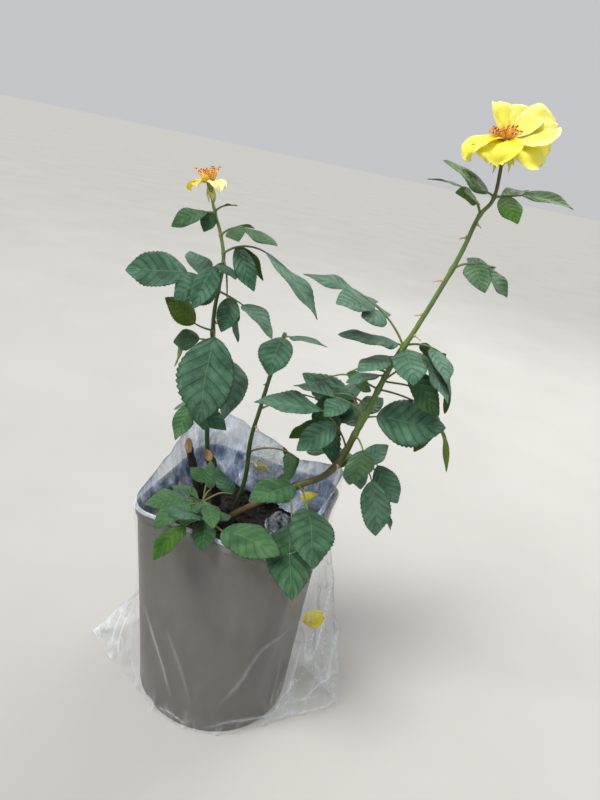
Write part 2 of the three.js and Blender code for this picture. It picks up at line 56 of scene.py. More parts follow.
# Camera, worked out from the pot's edges and the height of its surroundings
CAMERA_AT = Vector((172, -543, 620))
CAMERA_LOOK = Vector((-0.2186, 0.8967, -0.3850))
CAMERA_ROLL = 11.7
CAMERA_LENS = 27.05
CAMERA_SENSOR = 36

# Sky, lamps and floor, with sizes in metres
SKY_COLOUR = (0.95, 0.97, 1.0, 1)
SKY_STRENGTH = 0.58
SUN_STRENGTH = 2.9
SUN_SPREAD = 24
RIM_STRENGTH = 26
RIM_SIZE = 1.4
FLOOR_SIZE = 60
FLOOR_DROP = 0.0005

# Pot
POT_HEIGHT = 257
MOUTH_SIDE = 181
MOUTH_CORNER = 26
FOOT_RADIUS = 91
POT_WALL = 2.6
LIP_HEIGHT = 9
LIP_OUT = 2
NOTCH_RADIUS = 8
NOTCH_DEPTH = 5
NOTCH_DROP = 2
NOTCH_ANGLES = [-119, -29, 61, 151]
INSIDE_FOOT = 10
GROUND = 214
COMPOST_DEPTH = 30
COMPOST_SAG = 4

# Film bag
FILM_CLEAR = 2
FILM_EAR_REACH = 166
FILM_EARS = [(7.5, 262, 1.0), (187.5, 125, 1.25)]
FILM_CREST = 262
FILM_CREST_BUMPS = [(138, 40), (14, 24)]
FILM_TUCK = 222
FILM_HEM = 0.4
FILM_LIP = POT_HEIGHT + 2
FILM_ARC = 1.66  # millimetres round the pot to a degree
CREASE_ROOM = 75  # millimetres round the pot on each side of a crease
# Pockets of film inside the mouth: middle, half sizes, material and haze
FILM_POCKETS = [
    ("film_bead", (44, 0, 237), (15, 15, 14), "bead", 0),
    ("film_pocket", (-5, 70, 263), (26, 14, 23), "film", 0.22),
]

# Canes: radius at the foot and the tip, then waypoints
CROWN = {"at": (-25, -6), "height": 26, "foot": 17, "tip": 14}
CANES = {
    "right": (4.7, 1.9, vectors([
        (-20, -5, 220), (45, 9, 278), (85, 17, 313), (104, 19, 380), (116, 20, 436),
        (133, 20, 490), (150, 20, 552), (157, 18, 591), (165, 17, 610), (162, 12, 645),
    ])),
    "left": (3.3, 1.9, vectors([
        (-30, 2, 220), (-53, -1, 310), (-61, 0, 401), (-66, 1, 450),
        (-65, 4, 500), (-72, 5, 526), (-80, 5, 543), (-88, 6, 561),
    ])),
    "middle": (2.9, 2.2, vectors([
        (-15, 0, 220), (-5, 5, 270), (-6, 5, 323), (-2, 4, 358), (4, 1, 403), (12, -2, 451),
    ])),
    "low": (2.4, 1.8, vectors([(-28, -12, 220), (-33, -30, 250), (-27, -56, 268), (-14, -84, 272)])),
}
# Where a leaf leaves a cane: how far along the cane it swells, and how much
JOINT_REACH = 0.008
JOINT_SWELL = 0.16
# Stubs: as the canes, then the slant of the cut
STUBS = {
    "tall": (4.6, 4, vectors([(-34, -10, 220), (-49, -16, 259), (-66, -24, 316)]), 66),
    "short": (5.2, 4.6, vectors([(-26, -5, 220), (-35, -9, 279), (-47, -13, 303)]), 50),
}

# Prickles: cane, place along it, angle in plan, length
PRICKLES = [
    ("right", 0.16, 60, 6), ("right", 0.24, -70, 6), ("right", 0.36, 150, 7), ("right", 0.53, -20, 9),
    ("right", 0.57, 190, 7), ("right", 0.63, 195, 9), ("right", 0.72, 170, 6), ("right", 0.76, -10, 5),
    ("left", 0.24, 160, 6), ("left", 0.4, 20, 6), ("left", 0.52, 200, 5), ("middle", 0.3, 190, 6),
    ("middle", 0.5, -20, 6), ("middle", 0.75, 150, 5),
]
PRICKLE_FOOT = 2.3
PRICKLE_TIP = 0.15
PRICKLE_HOOK = 1.8

# Leaves, cane by cane: place along the cane, heading, rise, length of the stalk, how far it bends
# down, pairs of leaflets, length of the end leaflet, hang of the leaflets, roll of the leaf about
# its stalk, size of the side leaflets, where it differs their hang, and the green it wears
LEAVES = {
    "left": [
        (0.87, -152, 10, 8, 20, 1, 36, 10, -20, 0.6, "fresh"),
        (0.885, -3, 45, 6, 10, 0, 18, 5, 0, 1, "fresh"),
        (0.714, 0, 50, 24, 50, 1, 36, 10, 10, 0.8, "fresh"),
        (0.615, 6, 42, 42, 60, 1, 84, 15, 0, 0.55, 48, "dark"),
        (0.49, -148, 42, 34, 40, 2, 55, 0, -40, 0.74, "dark"),
        (0.57, -125, 10, 12, 40, 1, 46, 45, 0, 0.7, 0, "dark"),
        (0.49, -12, -5, 30, 10, 1, 44, 5, 0, 0.8, 55, "dark"),
        (0.37, -172, 0, 18, -20, 0, 42, -45, -50, 1, "young"),
        (0.335, -170, 0, 12, 10, 0, 32, 0, -55, 1, "fresh"),
        (0.3, -174, 20, 30, 40, 0, 40, 50, -50, 1, "young"),
        (0.36, -62, 42, 30, 70, 0, 86, 40, 0, 1, "dark"),
        (0.3, -14, 20, 24, 50, 1, 62, 45, 0, 0.6, 30, "dark"),
        (0.215, -110, 10, 24, 40, 1, 40, 20, 0, 0.9, "fresh"),
    ],
    "middle": [
        (0.985, -8, 15, 5, 10, 0, 42, -5, 0, 1, "dark"),
        (0.97, -85, 30, 5, 10, 0, 42, 30, 0, 1, "dark"),
        (0.34, 18, 35, 56, 70, 1, 38, 30, 0, 0.85, "fresh"),
    ],
    "right": [
        (0.27, -149, 66, 54, 35, 1, 68, 12, 0, 0.75, 52, "dark"),
        (0.3, -50, 0, 20, 40, 0, 46, 45, 0, 1, "fresh"),
        (0.25, -5, 28, 42, 100, 1, 76, 0, 65, 0.62, 30, "dark"),
        (0.5, -176, 56, 70, 45, 2, 54, 0, 0, 0.85, "dark"),
        (0.5, -156, 25, 4, 10, 0, 62, 5, 0, 1, "dark"),
        (0.475, -130, 10, 6, 10, 0, 40, 5, 0, 1, "dark"),
        (0.43, -147, 10, 4, 10, 0, 34, 5, 0, 1, "dark"),
        (0.49, -14, 25, 20, 40, 1, 50, 25, 0, 0.9, "dark"),
        (0.505, 16, 20, 42, 60, 1, 54, 45, 0, 0.8, "dark"),
        (0.335, 0, 25, 10, 10, 0, 66, -5, 55, 1, "dark"),
        (0.4, 14, -5, 56, 20, 1, 50, 50, 0, 0.6, "young"),
        (0.32, 131, 50, 26, 30, 1, 50, 20, -40, 0.8, "dark"),
        (0.65, -5, 45, 26, 60, 1, 36, 15, 20, 0.95, "fresh"),
        (0.79, -166, 65, 22, 40, 1, 36, 10, 0, 0.8, "bright"),
        (0.89, -166, 24, 5, 10, 0, 46, 12, -30, 1, "bright"),
        (0.89, -5, 15, 20, 0, 1, 42, 5, 20, 0.85, "bright"),
        (0.22, 95, 35, 44, 60, 1, 54, 20, 0, 0.85, "fresh"),
        (0.11, -68, 25, 66, 50, 0, 76, 20, 0, 1, "deep"),
        (0.13, -148, 15, 3, 10, 0, 60, 5, 0, 1, "fresh"),
        (0.13, -62, 25, 52, 40, 0, 70, 12, 0, 1, "deep"),
        (0.34, -172, 35, 34, 40, 1, 42, 20, 0, 0.8, "dark"),
    ],
    "low": [
        (0.33, -144, 50, 26, 50, 1, 46, 0, -15, 0.8, "fresh"),
        (0.68, -112, 25, 16, 20, 0, 42, 5, 0, 1, "fresh"),
        (0.98, -120, 8, 20, 20, 0, 44, 8, 0, 1, "bright"),
        (0.9, -78, 20, 4, 10, 0, 44, 12, 0, 1, "dark"),
        (0.99, -12, 6, 26, 20, 1, 64, 8, 15, 0.5, "fresh"),
        (0.75, -50, 60, 26, 50, 1, 26, 30, 0, 0.7, "fresh"),
        (0.45, 110, 70, 30, 40, 1, 28, 10, 0, 0.8, "fresh"),
    ],
}
STALK_BENDS = 8
STALK_FOOT = 1.2
STALK_TIP = 0.8
STALK_STEPS = 20
STALK_SIDES = 8
SIDE_LEAFLET_ANGLE = 62
SIDE_HANG = 0.8
PAIR_SPACING = 0.34
LEAFLET_ASPECT = 0.7
LEAFLET_CURL = 26
LEAFLET_FOLD = 0.16
END_ROOT = 2
HEADING_SHIFTS = [0, 13, -13, 26, -26]
HANG_SHIFTS = [0, 12, -12, 24, -24, 38, -38]
CAD_RINGS = 5
TIP_REACHED = 0.4

# Leaflet detail
GREENS = ["dark", "deep", "fresh", "bright", "young"]
LEAF_HALF_THICKNESS = 0.12
QUILTING = 0.017
EDGE_WAVE = 0.045
TEETH = 15
LEAF_ROWS = 75
LEAF_COLUMNS = 18
SIDE_VEINS = 7
# Width of the leaflets of some leaves beside that of the others
SLIM_LEAVES = {
    "leaf_left_4": 0.6, "leaf_middle_1": 0.8, "leaf_right_1": 0.85, "leaf_right_3": 0.66,
    "leaf_right_12": 0.85, "leaf_right_14": 0.85, "leaf_right_15": 0.72, "leaf_right_16": 0.72,
    "leaf_right_18": 0.86, "leaf_right_20": 0.86,
    "leaf_low_1": 0.85, "leaf_low_2": 0.85, "leaf_low_3": 0.85,
}
# Small leaflets that hang between the larger leaves: cane, place along it, root, tip, way of the
# face, width beside length, and green
SMALL_LEAFLETS = [
    ("right", 0.42, (172, 56, 392), (200, 62, 329), (40, -20, 10), 0.22, "young"),
    ("right", 0.25, (128, 50, 318), (160, 58, 276), (-30, -60, 60), 0.6, "dark"),
    ("right", 0.25, (144, 64, 287), (161, 68, 233), (-60, -30, 30), 0.45, "dark"),
    ("middle", 0.62, (57, 19, 386), (85, 26, 316), (-20, -70, 30), 0.42, "dark"),
    ("right", 0.42, (134, 25, 440), (175, 34, 400), (-20, -60, 70), 0.5, "fresh"),
    ("left", 0.6, (-50, -7, 464), (-34, -3, 428), (70, -20, 20), 0.3, "dark"),
    ("right", 0.3, (97, 53, 357), (27, 36, 402), (-20, -50, 80), 0.5, "dark"),
    ("left", 0.33, (-62, -29, 361), (-25, -21, 339), (-10, -60, 60), 0.5, "dark"),
    ("right", 0.36, (59, 20, 390), (79, 26, 334), (-20, -70, 25), 0.46, "fresh"),
    ("right", 0.4, (48, 30, 402), (103, 44, 362), (-20, -50, 80), 0.42, "dark"),
    ("right", 0.44, (76, 24, 420), (103, 34, 404), (-10, -50, 80), 0.6, "bright"),
    ("low", 0.55, (-3, -32, 276), (-23, -38, 305), (-30, -80, 30), 0.6, "dark"),
    ("low", 0.55, (-26, -36, 276), (-34, -30, 305), (20, -80, 30), 0.5, "fresh"),
]

# Blooms: for each petal its angle round the bloom, how far it rises, length, width, roll, how pale
# it is and how far it bulges
OPEN_AXIS = Vector((-0.16, -0.26, 1))
OPEN_PETALS = [
    (-100, -12, 28, 38, 0, 0.05, 44), (-150, -4, 35, 28, 0, 0.3, 40), (172, -8, 30, 26, 0, 0.5, 20),
    (8, 24, 42, 40, 42, 0.95, 6), (-12, -14, 37, 36, 50, 0.6, 12), (34, 48, 33, 34, 34, 0.9, 6),
    (140, 74, 32, 25, 0, 0.85, 4), (96, -34, 32, 34, 0, 0.5, 10),
]
SPENT_PETALS = [
    (-165, -8, 20, 18, 0, 0.0, 80), (-118, 0, 17, 16, 20, 0.0, 70), (-35, -14, 19, 18, 0, 1.6, 80),
    (120, 55, 15, 12, 0, 0.2, 20), (30, 62, 12, 8, 0, -0.3, 10), (-80, 68, 11, 6, 30, -0.3, 10),
]
PETAL_ROWS = 34
PETAL_COLUMNS = 28
PETAL_HALF_THICKNESS = 0.2
SEPAL_COUNT = 5
SEPAL_ROWS = 20
SEPAL_CURL = 26
SEPAL_HALF_WIDTH = 4.2
SEPAL_THICKNESS = 0.5
HIP_RADIUS = 5.2
HIP_HEIGHT = 11
HIP_STEPS = 14
HIP_SIDES = 24
# Stamens and their tips: places along them, and the radius at each
STAMEN_PLACES = (0, 0.35, 0.7, 1)
STAMEN_RADII = [0.36, 0.32, 0.27, 0.22]
STAMEN_SIDES = 5
STAMEN_TIP_PLACES = (-0.9, -0.3, 0.3, 0.9)
STAMEN_TIP_RADII = [0.2, 0.5, 0.5, 0.2]
STAMEN_TIP_SIDES = 6
# Fallen petals: middle, heading, rise, roll, length, width and how pale
FALLEN_PETALS = [
    ((61, 65, 246), -120, 10, 20, 26, 21, 0.2), ((-50, -62, 250), -40, 20, 0, 10, 9, 0.2),
    ((-6, 58, 264), -100, 66, 0, 21, 19, 1.6), ((107, -12, 140), -12, 44, 74, 27, 20, 0.9),
]

# Fineness of the other meshes
BAR_ROUNDING = 5
CANE_STEPS = 34
PRICKLE_SIDES = 12
PRICKLE_CUTS = 5
STUB_STEPS = 40
CROWN_SIDES = 64
CROWN_RINGS = 22
CROWN_LUMPS = 0.2
POT_SIDES = 240
COMPOST_SIDES = 160
COMPOST_RINGS = 44
CRUMB_COUNT = 520
CRUMB_SIDES = 7
CRUMB_LATITUDES = (-80, -35, 10, 50, 85)
FILM_SIDES = 360
FILM_WALL_ROWS = 110
FILM_TOP_ROWS = 18
FILM_INSIDE_ROWS = 30
CREASE_STEPS = 8
RING_STEP = 0.01
CAP_UV = [(0, 0), (0, 1), (1, 0.5)]


def limited(value, low=0, high=1):
    return min(max(value, low), high)


def in_plan(angle, reach, height):
    """The point at an angle in plan, a reach from the middle and a height."""
    return Vector((reach * cos(angle), reach * sin(angle), height))


def pointing(heading, rise):
    """The unit vector of a heading in plan and a rise above the level."""
    return in_plan(radians(heading), cos(radians(rise)), sin(radians(rise)))


def wobble(seed):
    """The same small number between -1 and 1 for the same seed, every time."""
    wave = sin(seed * 12.9898) * 43758.5453
    return 2 * (wave % 1) - 1


def turn(vector, axis, angle):
    return Quaternion(axis, radians(angle)) @ vector


def mix(low, high, share):
    return low + (high - low) * share


def smooth_step(low, high, value):
    share = limited((value - low) / (high - low))
    return share * share * (3 - 2 * share)


def curve_point(points, share):
    """A point on the smooth curve through the waypoints."""
    last = len(points) - 1
    place = limited(share) * last
    i = min(int(place), last - 1)
    t = place - i
    p1 = points[i]
    p2 = points[i + 1]
    p0 = points[i - 1] if i > 0 else 2 * p1 - p2
    p3 = points[i + 2] if i + 2 <= last else 2 * p2 - p1
    m1 = (p2 - p0) * 0.5
    m2 = (p3 - p1) * 0.5
    return (
        p1 * (2 * t**3 - 3 * t**2 + 1) + p2 * (3 * t**2 - 2 * t**3)
        + m1 * (t**3 - 2 * t**2 + t) + m2 * (t**3 - t**2)
    )


def way(points, share):
    """The direction of the smooth curve at a share of it."""
    return (curve_point(points, share + 0.005) - curve_point(points, share - 0.005)).normalized()


def way_at(line, i):
    """The direction of a line of points at one of them."""
    return (line[min(i + 1, len(line) - 1)] - line[max(i - 1, 0)]).normalized()


def round_angles(count):
    return [2 * pi * c / count for c in range(count)]


def crease_line(points):
    """A crease: its middle angle, and places along its smooth line in millimetres round and up."""
    line = vectors([(x, y, 0) for x, y in points])
    fine = [curve_point(line, i / CREASE_STEPS) for i in range(CREASE_STEPS + 1)]
    middle = fine[CREASE_STEPS // 2].x
    return middle, [Vector(((place.x - middle) * FILM_ARC, place.y)) for place in fine]


# Pulled creases: angle and height of their points, how far they lift, how wide, how bright their painted
# highlight is
FILM_CREASES = [(crease_line(points), *rest) for points, *rest in (
    ([(-126, 136), (-119, 111), (-108, 75), (-99, 39)], 2.2, 5, 0.34),
    ([(-107, 127), (-95, 92), (-84, 45)], 1.2, 8, 0.14),
    ([(-30, 160), (-46, 145), (-55, 90), (-66, 50)], 2, 7, 0.22),
    ([(-15.4, 118), (-16.4, 76), (-18, 16)], 2.5, 5, 0.6),
    ([(-71, 9), (-55, 26), (-32, 17), (-13, 20)], 3, 6, 0.55),
    ([(62, 200), (70, 130), (84, 50)], 1.6, 6, 0.12), ([(118, 150), (112, 110), (117, 30)], 1.6, 7, 0.1),
    ([(160, 210), (152, 140), (136, 60)], 2, 5, 0.18), ([(38, 130), (33, 80), (36, 12)], 2, 6, 0.2),
    ([(-150, 70), (-140, 30), (-122, 8)], 2, 5, 0.4),
    ([(-8, 24), (-0.5, 43), (6.5, 58)], 2, 4, 0.9), ([(-31, 6), (-14, 7), (0, 4), (7, 14)], 2.5, 4, 0.9),
    ([(3, 112), (5.5, 83), (7.4, 46)], 1.5, 3, 0.5), ([(-7.6, 92), (-1.6, 66), (1.7, 26)], 1.5, 3, 0.4),
    ([(-12, 118), (-0.4, 91), (4, 62)], 1, 3, 0.3), ([(-164, 62), (-160, 28), (-154, 6)], 2, 4, 0.7),
    ([(-172, 84), (-167, 36), (-162, 8)], 1.5, 4, 0.6), ([(-112, 8), (-98, 14), (-83, 8)], 2, 4, 0.6),
)]


class Shape:
    """A mesh in the making: vertices in millimetres, faces with a material index, UVs and a shade."""

    def __init__(self):
        self.points = []
        self.faces = []
        self.skins = []
        self.uvs = []
        self.shades = []

    def add_points(self, points, shade):
        self.points += points
        self.shades += [shade] * len(points)

    def add_face(self, corners, uv, skin, flip):
        turned = slice(None, None, -1 if flip else 1)
        self.faces.append(corners[turned])
        self.uvs += uv[turned]
        self.skins.append(skin)

    def add_grid(self, rows, skin=0, shade=0.5, closed=False, flip=False):
        """Rows of points as a sheet of quads. A closed one joins the ends of its rows."""
        start = len(self.points)
        count = len(rows[0])
        columns = count if closed else count - 1
        steps = len(rows) - 1
        for row in rows:
            self.add_points(row, shade)
        for r in range(steps):
            for c in range(columns):
                spots = [(r, c), (r, c + 1), (r + 1, c + 1), (r + 1, c)]
                self.add_face([start + i * count + j % count for i, j in spots],
                              [(i / steps, j / columns) for i, j in spots], skin, flip)

    def add_cap(self, ring, skin=0, shade=0.5, flip=False):
        """A fan that closes a ring of points."""
        start = len(self.points)
        count = len(ring)
        self.add_points([*ring, sum(ring, Vector()) / count], shade)
        for c in range(count):
            self.add_face([start + c, start + (c + 1) % count, start + count], CAP_UV, skin, flip)

    def add_blade(self, top, low, skins, shade, rim=False):
        """The two sides of a blade as rows of points. They share an edge, or a rim joins them."""
        if not rim:
            inner = [[a[0], *b[1:-1], a[-1]] for a, b in zip(top[1:-1], low[1:-1])]
            low = [top[0], *inner, top[-1]]
        self.add_grid(top, skins[0], shade)
        self.add_grid(low, skins[1], shade, flip=True)
        if rim:
            edges = [[*rows[0], *(row[-1] for row in rows[1:-1]), *reversed(rows[-1]),
                      *(row[0] for row in reversed(rows[1:-1]))] for rows in (top, low)]
            self.add_grid(edges, skins[0], shade, closed=True)

    def build(self, name, materials, slot, replaces=()):
        """The mesh as a piece of the object, its doubled seams merged."""
        mesh = bpy.data.meshes.new(name)
        mesh.from_pydata([p * MILLIMETRE for p in self.points], [], self.faces)
        mesh.polygons.foreach_set("material_index", self.skins)
        mesh.uv_layers.new(name="UVMap").data.foreach_set("uv", [value for uv in self.uvs for value in uv])
        mesh.attributes.new("shade", "FLOAT", "POINT").data.foreach_set("value", self.shades)
        for material in materials:
            mesh.materials.append(MATERIALS[material])
        work = bmesh.new()
        work.from_mesh(mesh)
        bmesh.ops.remove_doubles(work, verts=work.verts, dist=1e-6)
        bmesh.ops.dissolve_degenerate(work, edges=work.edges, dist=1e-7)
        work.to_mesh(mesh)
        work.free()
        mesh.polygons.foreach_set("use_smooth", [True] * len(mesh.polygons))
        mesh.update()
        piece = bpy.data.objects.new(name, mesh)
        bpy.context.scene.collection.objects.link(piece)
        claim(piece, replaces)


def claim(piece, replaces):
    """Gives a piece its place in the object."""
    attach(piece, "root")
    if replaces:
        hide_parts(*replaces)


def tube(shape, points, radii, sides=10, skin=0, relief=0.0, seed=0):
    """A round limb along points, with a radius for each and a little relief in its skin."""
    rows = []
    side = (points[1] - points[0]).normalized().orthogonal().normalized()
    for i, (point, base) in enumerate(zip(points, radii)):
        ahead = way_at(points, i)
        side = (side - ahead * side.dot(ahead)).normalized()
        other = ahead.cross(side)
        row = []
        for angle in round_angles(sides):
            out = side * cos(angle) + other * sin(angle)
            radius = base
            if relief:
                spot = point * 0.22 + out * 1.3 + Vector((seed, 0, 0))
                radius += relief * noise(spot) + relief * 0.5 * noise(spot * 3.1)
            row.append(point + out * radius)
        rows.append(row)
    shape.add_grid(rows, skin, closed=True, flip=True)
    shape.add_cap(rows[0], skin)
    shape.add_cap(rows[-1], skin, flip=True)


# Materials


def colour(red, green, blue):
    """A colour given in the 0 to 255 values of a picture, as the renderer's linear values."""
    shares = [value / 255 for value in (red, green, blue)]
    return (*(s / 12.92 if s <= 0.04045 else ((s + 0.055) / 1.055) ** 2.4 for s in shares), 1)


def fill(tree, holder, inputs):
    """Links worked-out values to a node's inputs, or sets the inputs, by name or by place."""
    for key, value in inputs.items():
        if isinstance(value, Value):
            tree.links.new(value.socket, holder.inputs[key])
        else:
            holder.inputs[key].default_value = value


def add_node(tree, kind, outcome, inputs, **settings):
    """Adds a node with its settings and inputs, and gives one of its outcomes."""
    made = tree.nodes.new(f"ShaderNode{kind}")
    for key, value in settings.items():
        setattr(made, key, value)
    fill(tree, made, inputs)
    return Value(tree, made.outputs[outcome])


class Value:
    """What a node gives. A sum with it adds a node that works the sum out."""

    def __init__(self, tree, socket):
        self.tree = tree
        self.socket = socket

    def maths(self, operation, other=0.0):
        return add_node(self.tree, "Math", 0, {0: self, 1: other}, operation=operation)

    def __add__(self, other):
        return self.maths("ADD", other)

    def __sub__(self, other):
        return self.maths("SUBTRACT", other)

    def __mul__(self, other):
        return self.maths("MULTIPLY", other)

    def __abs__(self):
        return self.maths("ABSOLUTE")

    def at_least(self, other):
        return self.maths("MAXIMUM", other)

    def part(self, place):
        return add_node(self.tree, "SeparateXYZ", place, {"Vector": self})

    def spread(self, low, high, low_out=0.0, high_out=1.0):
        """The range from low to high, drawn out to another range and cut off at its ends."""
        return add_node(self.tree, "MapRange", 0, {"Value": self, 1: low, 2: high, 3: low_out, 4: high_out})

    def blend(self, low, high):
        """A colour between two that are worked out, or given as red, green and blue."""
        low, high = (colour(*tint) if isinstance(tint, tuple) else tint for tint in (low, high))
        return add_node(self.tree, "Mix", 2, {0: self, 6: low, 7: high}, data_type="RGBA")


class Skin:
    """A material in the making."""

    def __init__(self, name):
        self.material = bpy.data.materials.new(name)
        self.material.use_nodes = True
        self.tree = self.material.node_tree

    def node(self, kind, outcome, inputs, **settings):
        return add_node(self.tree, kind, outcome, inputs, **settings)

    def place(self):
        return self.node("TexCoord", "Object", {})

    def noise(self, scale, detail=3.0, stretch=(1, 1, 1), roughness=0.55):
        spot = self.node("Mapping", 0, {"Vector": self.place(), "Scale": stretch})
        return self.node("TexNoise", "Fac",
                         {"Vector": spot, "Scale": scale, "Detail": detail, "Roughness": roughness})

    def painted(self, name):
        """A number that the mesh holds for each vertex."""
        return self.node("Attribute", "Fac", {}, attribute_name=name)

    def bump(self, height, distance, strength):
        return self.node("Bump", 0, {"Height": height, "Distance": distance, "Strength": strength})

    def blade_places(self):
        """The UV of a blade, how far along it a place is, and how far off its middle line."""
        uv = self.node("UVMap", 0, {})
        return uv, uv.part(0), abs(uv.part(1) - 0.5)

    def wear(self, inputs, light_weight=0.0, light_reach=(1, 1, 1)):
        """Fills the shader and gives the material.

        Part of the light may enter and come out a little way off: red, green and blue in millimetres.
        """
        shader = self.tree.nodes["Principled BSDF"]
        fill(self.tree, shader, inputs)
        if light_weight:
            fill(self.tree, shader, {"Subsurface Weight": light_weight, "Subsurface Radius": light_reach,
                                     "Subsurface Scale": MILLIMETRE})
        return self.material


def leaf_material(name, shaded, lit, vein, roughness, gloss=0.36):
    """A leaf's face painted from a shaded to a lit colour: painted highlight on its soft ridges, painted
    shade in its sunk side veins, a pale midrib, and a tint of each leaf's own.
    """
    skin = Skin(name)
    _, along, off = skin.blade_places()
    midrib = off.spread(0.004, 0.018, 1, 0)
    phase = abs((along * float(SIDE_VEINS) - off * 3.4).maths("FRACT") - 0.5)
    side_vein = phase.spread(0.4, 0.5)
    ridge = phase.spread(0.0, 0.5, 1, 0)
    net = skin.node("TexVoronoi", "Distance", {"Scale": 420}, feature="DISTANCE_TO_EDGE")
    net = net.spread(0.02, 0.2, 1, 0)
    patches = skin.noise(55, 5).spread(0.36, 0.64)
    # Painted light and shade: noise patches of painted sheen, each leaf's own tint, a painted highlight on
    # the ridges and painted shade in the side veins set how far the colour goes from shaded to lit.
    share = patches * 0.45 + skin.painted("shade") * 0.35 + ridge * patches * 0.3 - side_vein * 0.24
    veins = (midrib * 0.5).at_least(net * 0.12)
    fine = skin.noise(700, 2)
    height = fine * 0.2 - net * 0.35 + ridge * 1.2 - midrib.at_least(side_vein * 0.6)
    return skin.wear({
        "Base Color": veins.blend(share.at_least(0.0).blend(shaded, lit), vein),
        "Roughness": fine.spread(0.2, 0.8, roughness - 0.06, roughness + 0.08),
        "Normal": skin.bump(height, 0.0016, 0.85),
        "Specular IOR Level": gloss,
    }, 0.12, (0.5, 1.0, 0.2))


def petal_material(name, claw, middle, edge, vein_strength=0.25):
    """A petal's face: deeper at the claw, paler to the edge, with fine veins along it."""
    skin = Skin(name)
    uv, along, off = skin.blade_places()
    lines = skin.node("Mapping", 0, {"Vector": uv, "Scale": (3, 60, 1)})
    veins = skin.node("TexNoise", "Fac", {"Vector": lines, "Scale": 1, "Detail": 3})
    rim = along.spread(0.7, 1.0).at_least(off.spread(0.34, 0.5))
    pale = rim * 0.6 + (skin.noise(90) - 0.5) * 0.9 + (veins - 0.5) * vein_strength
    pale = pale + (skin.painted("shade") - 0.5) * 0.5
    return skin.wear({
        "Base Color": pale.spread(0.0, 1.0).blend(along.spread(0.05, 0.5).blend(claw, middle), edge),
        "Roughness": 0.5,
        "Normal": skin.bump(veins, 0.0004, 0.5),
    }, 0.4, (2.0, 1.9, 0.7))


def bark_material(name, body, streak, patch, roughness=0.5, lumps=0.0006, stages=()):
    """The skin of a cane: streaks along it, patches of another tint and small pores.

    Over the two heights of each stage, in metres, the three colours change to those of the stage.
    """
    skin = Skin(name)
    streaks = skin.noise(260, 4, (1, 1, 0.12))
    pores = skin.noise(1300, 2).spread(0.62, 0.72)
    tints = [body, streak, patch]
    for low, high, upper_tints in stages:
        climb = skin.place().part(2).spread(low, high)
        tints = [climb.blend(*pair) for pair in zip(tints, upper_tints)]
    base = streaks.spread(0.35, 0.7).blend(tints[0], tints[1])
    return skin.wear({
        "Base Color": (skin.noise(34).spread(0.42, 0.62) * 0.7).blend(base, tints[2]),
        "Roughness": streaks.spread(0.2, 0.8, roughness - 0.1, roughness + 0.15),
        "Normal": skin.bump(streaks + pores * 0.4, lumps, 0.8),
    })


def plain_material(name, low, high, scale, roughness, lumps=0.0003, detail=3.0):
    """A skin of two tints by one noise, with a fine grain."""
    skin = Skin(name)
    return skin.wear({
        "Base Color": skin.noise(scale, detail).spread(0.3, 0.7).blend(low, high),
        "Roughness": roughness,
        "Normal": skin.bump(skin.noise(scale * 8), lumps, 0.7),
    })


def pot_material():
    """Dull grey-brown plastic with a little dust and faint rubbed marks."""
    skin = Skin("pot_plastic")
    dust = skin.noise(12, 4).spread(0.35, 0.75)
    rubbed = skin.noise(45, 2, (1, 1, 0.2)).spread(0.56, 0.76)
    return skin.wear({
        "Base Color": (rubbed * 0.2).blend(dust.blend((87, 83, 75), (99, 94, 86)), (128, 121, 110)),
        "Roughness": rubbed.spread(0, 1, 0.46, 0.6),
        "Normal": skin.bump(skin.noise(30, 1, (1, 1, 0.3)), 0.0003, 0.3),
    })


def film_material(name, low_tint, high_tint, clear, misty, edge_on_sheen):
    """Clear film: a little of it stays in the colour, most of all on creases and glints, as painted
    highlights, on mist, and on faces seen edge-on, as a painted sheen.

    The mesh says where it is creased and how bright the painted highlight is there (shade), and where it
    hangs loose (loose).
    """
    skin = Skin(name)
    loose = skin.painted("loose")
    mist = skin.noise(30, 4, (1, 1, 0.5)).spread(0.42, 0.7)
    streaks = skin.noise(110, 5, (1, 1, 0.22), 0.65).spread(0.42, 0.62)
    fold = abs(skin.noise(34, 3, (1, 1, 0.45)) - 0.5)
    glint = fold.spread(0.0, 0.016, 1, 0) * mist.spread(0.1, 0.9) * loose
    normal = skin.bump(skin.noise(90, 4, (1, 1, 0.5)) * loose, 0.003, 0.7)
    facing = skin.node("LayerWeight", "Facing", {"Blend": 0.25, "Normal": normal})
    # Painted sheen on faces seen edge-on and painted highlights on creases and glints make more of the pale
    # colour show.
    alpha = facing.spread(0.3, 1.0) * edge_on_sheen + clear + mist * loose * misty
    alpha = alpha + skin.painted("shade") * 0.75 + glint * 0.6
    return skin.wear({
        "Base Color": streaks.at_least(glint).blend(low_tint, high_tint),
        "Roughness": 0.1,
        "Normal": normal,
        "Alpha": alpha.maths("MINIMUM", 0.95),
    })


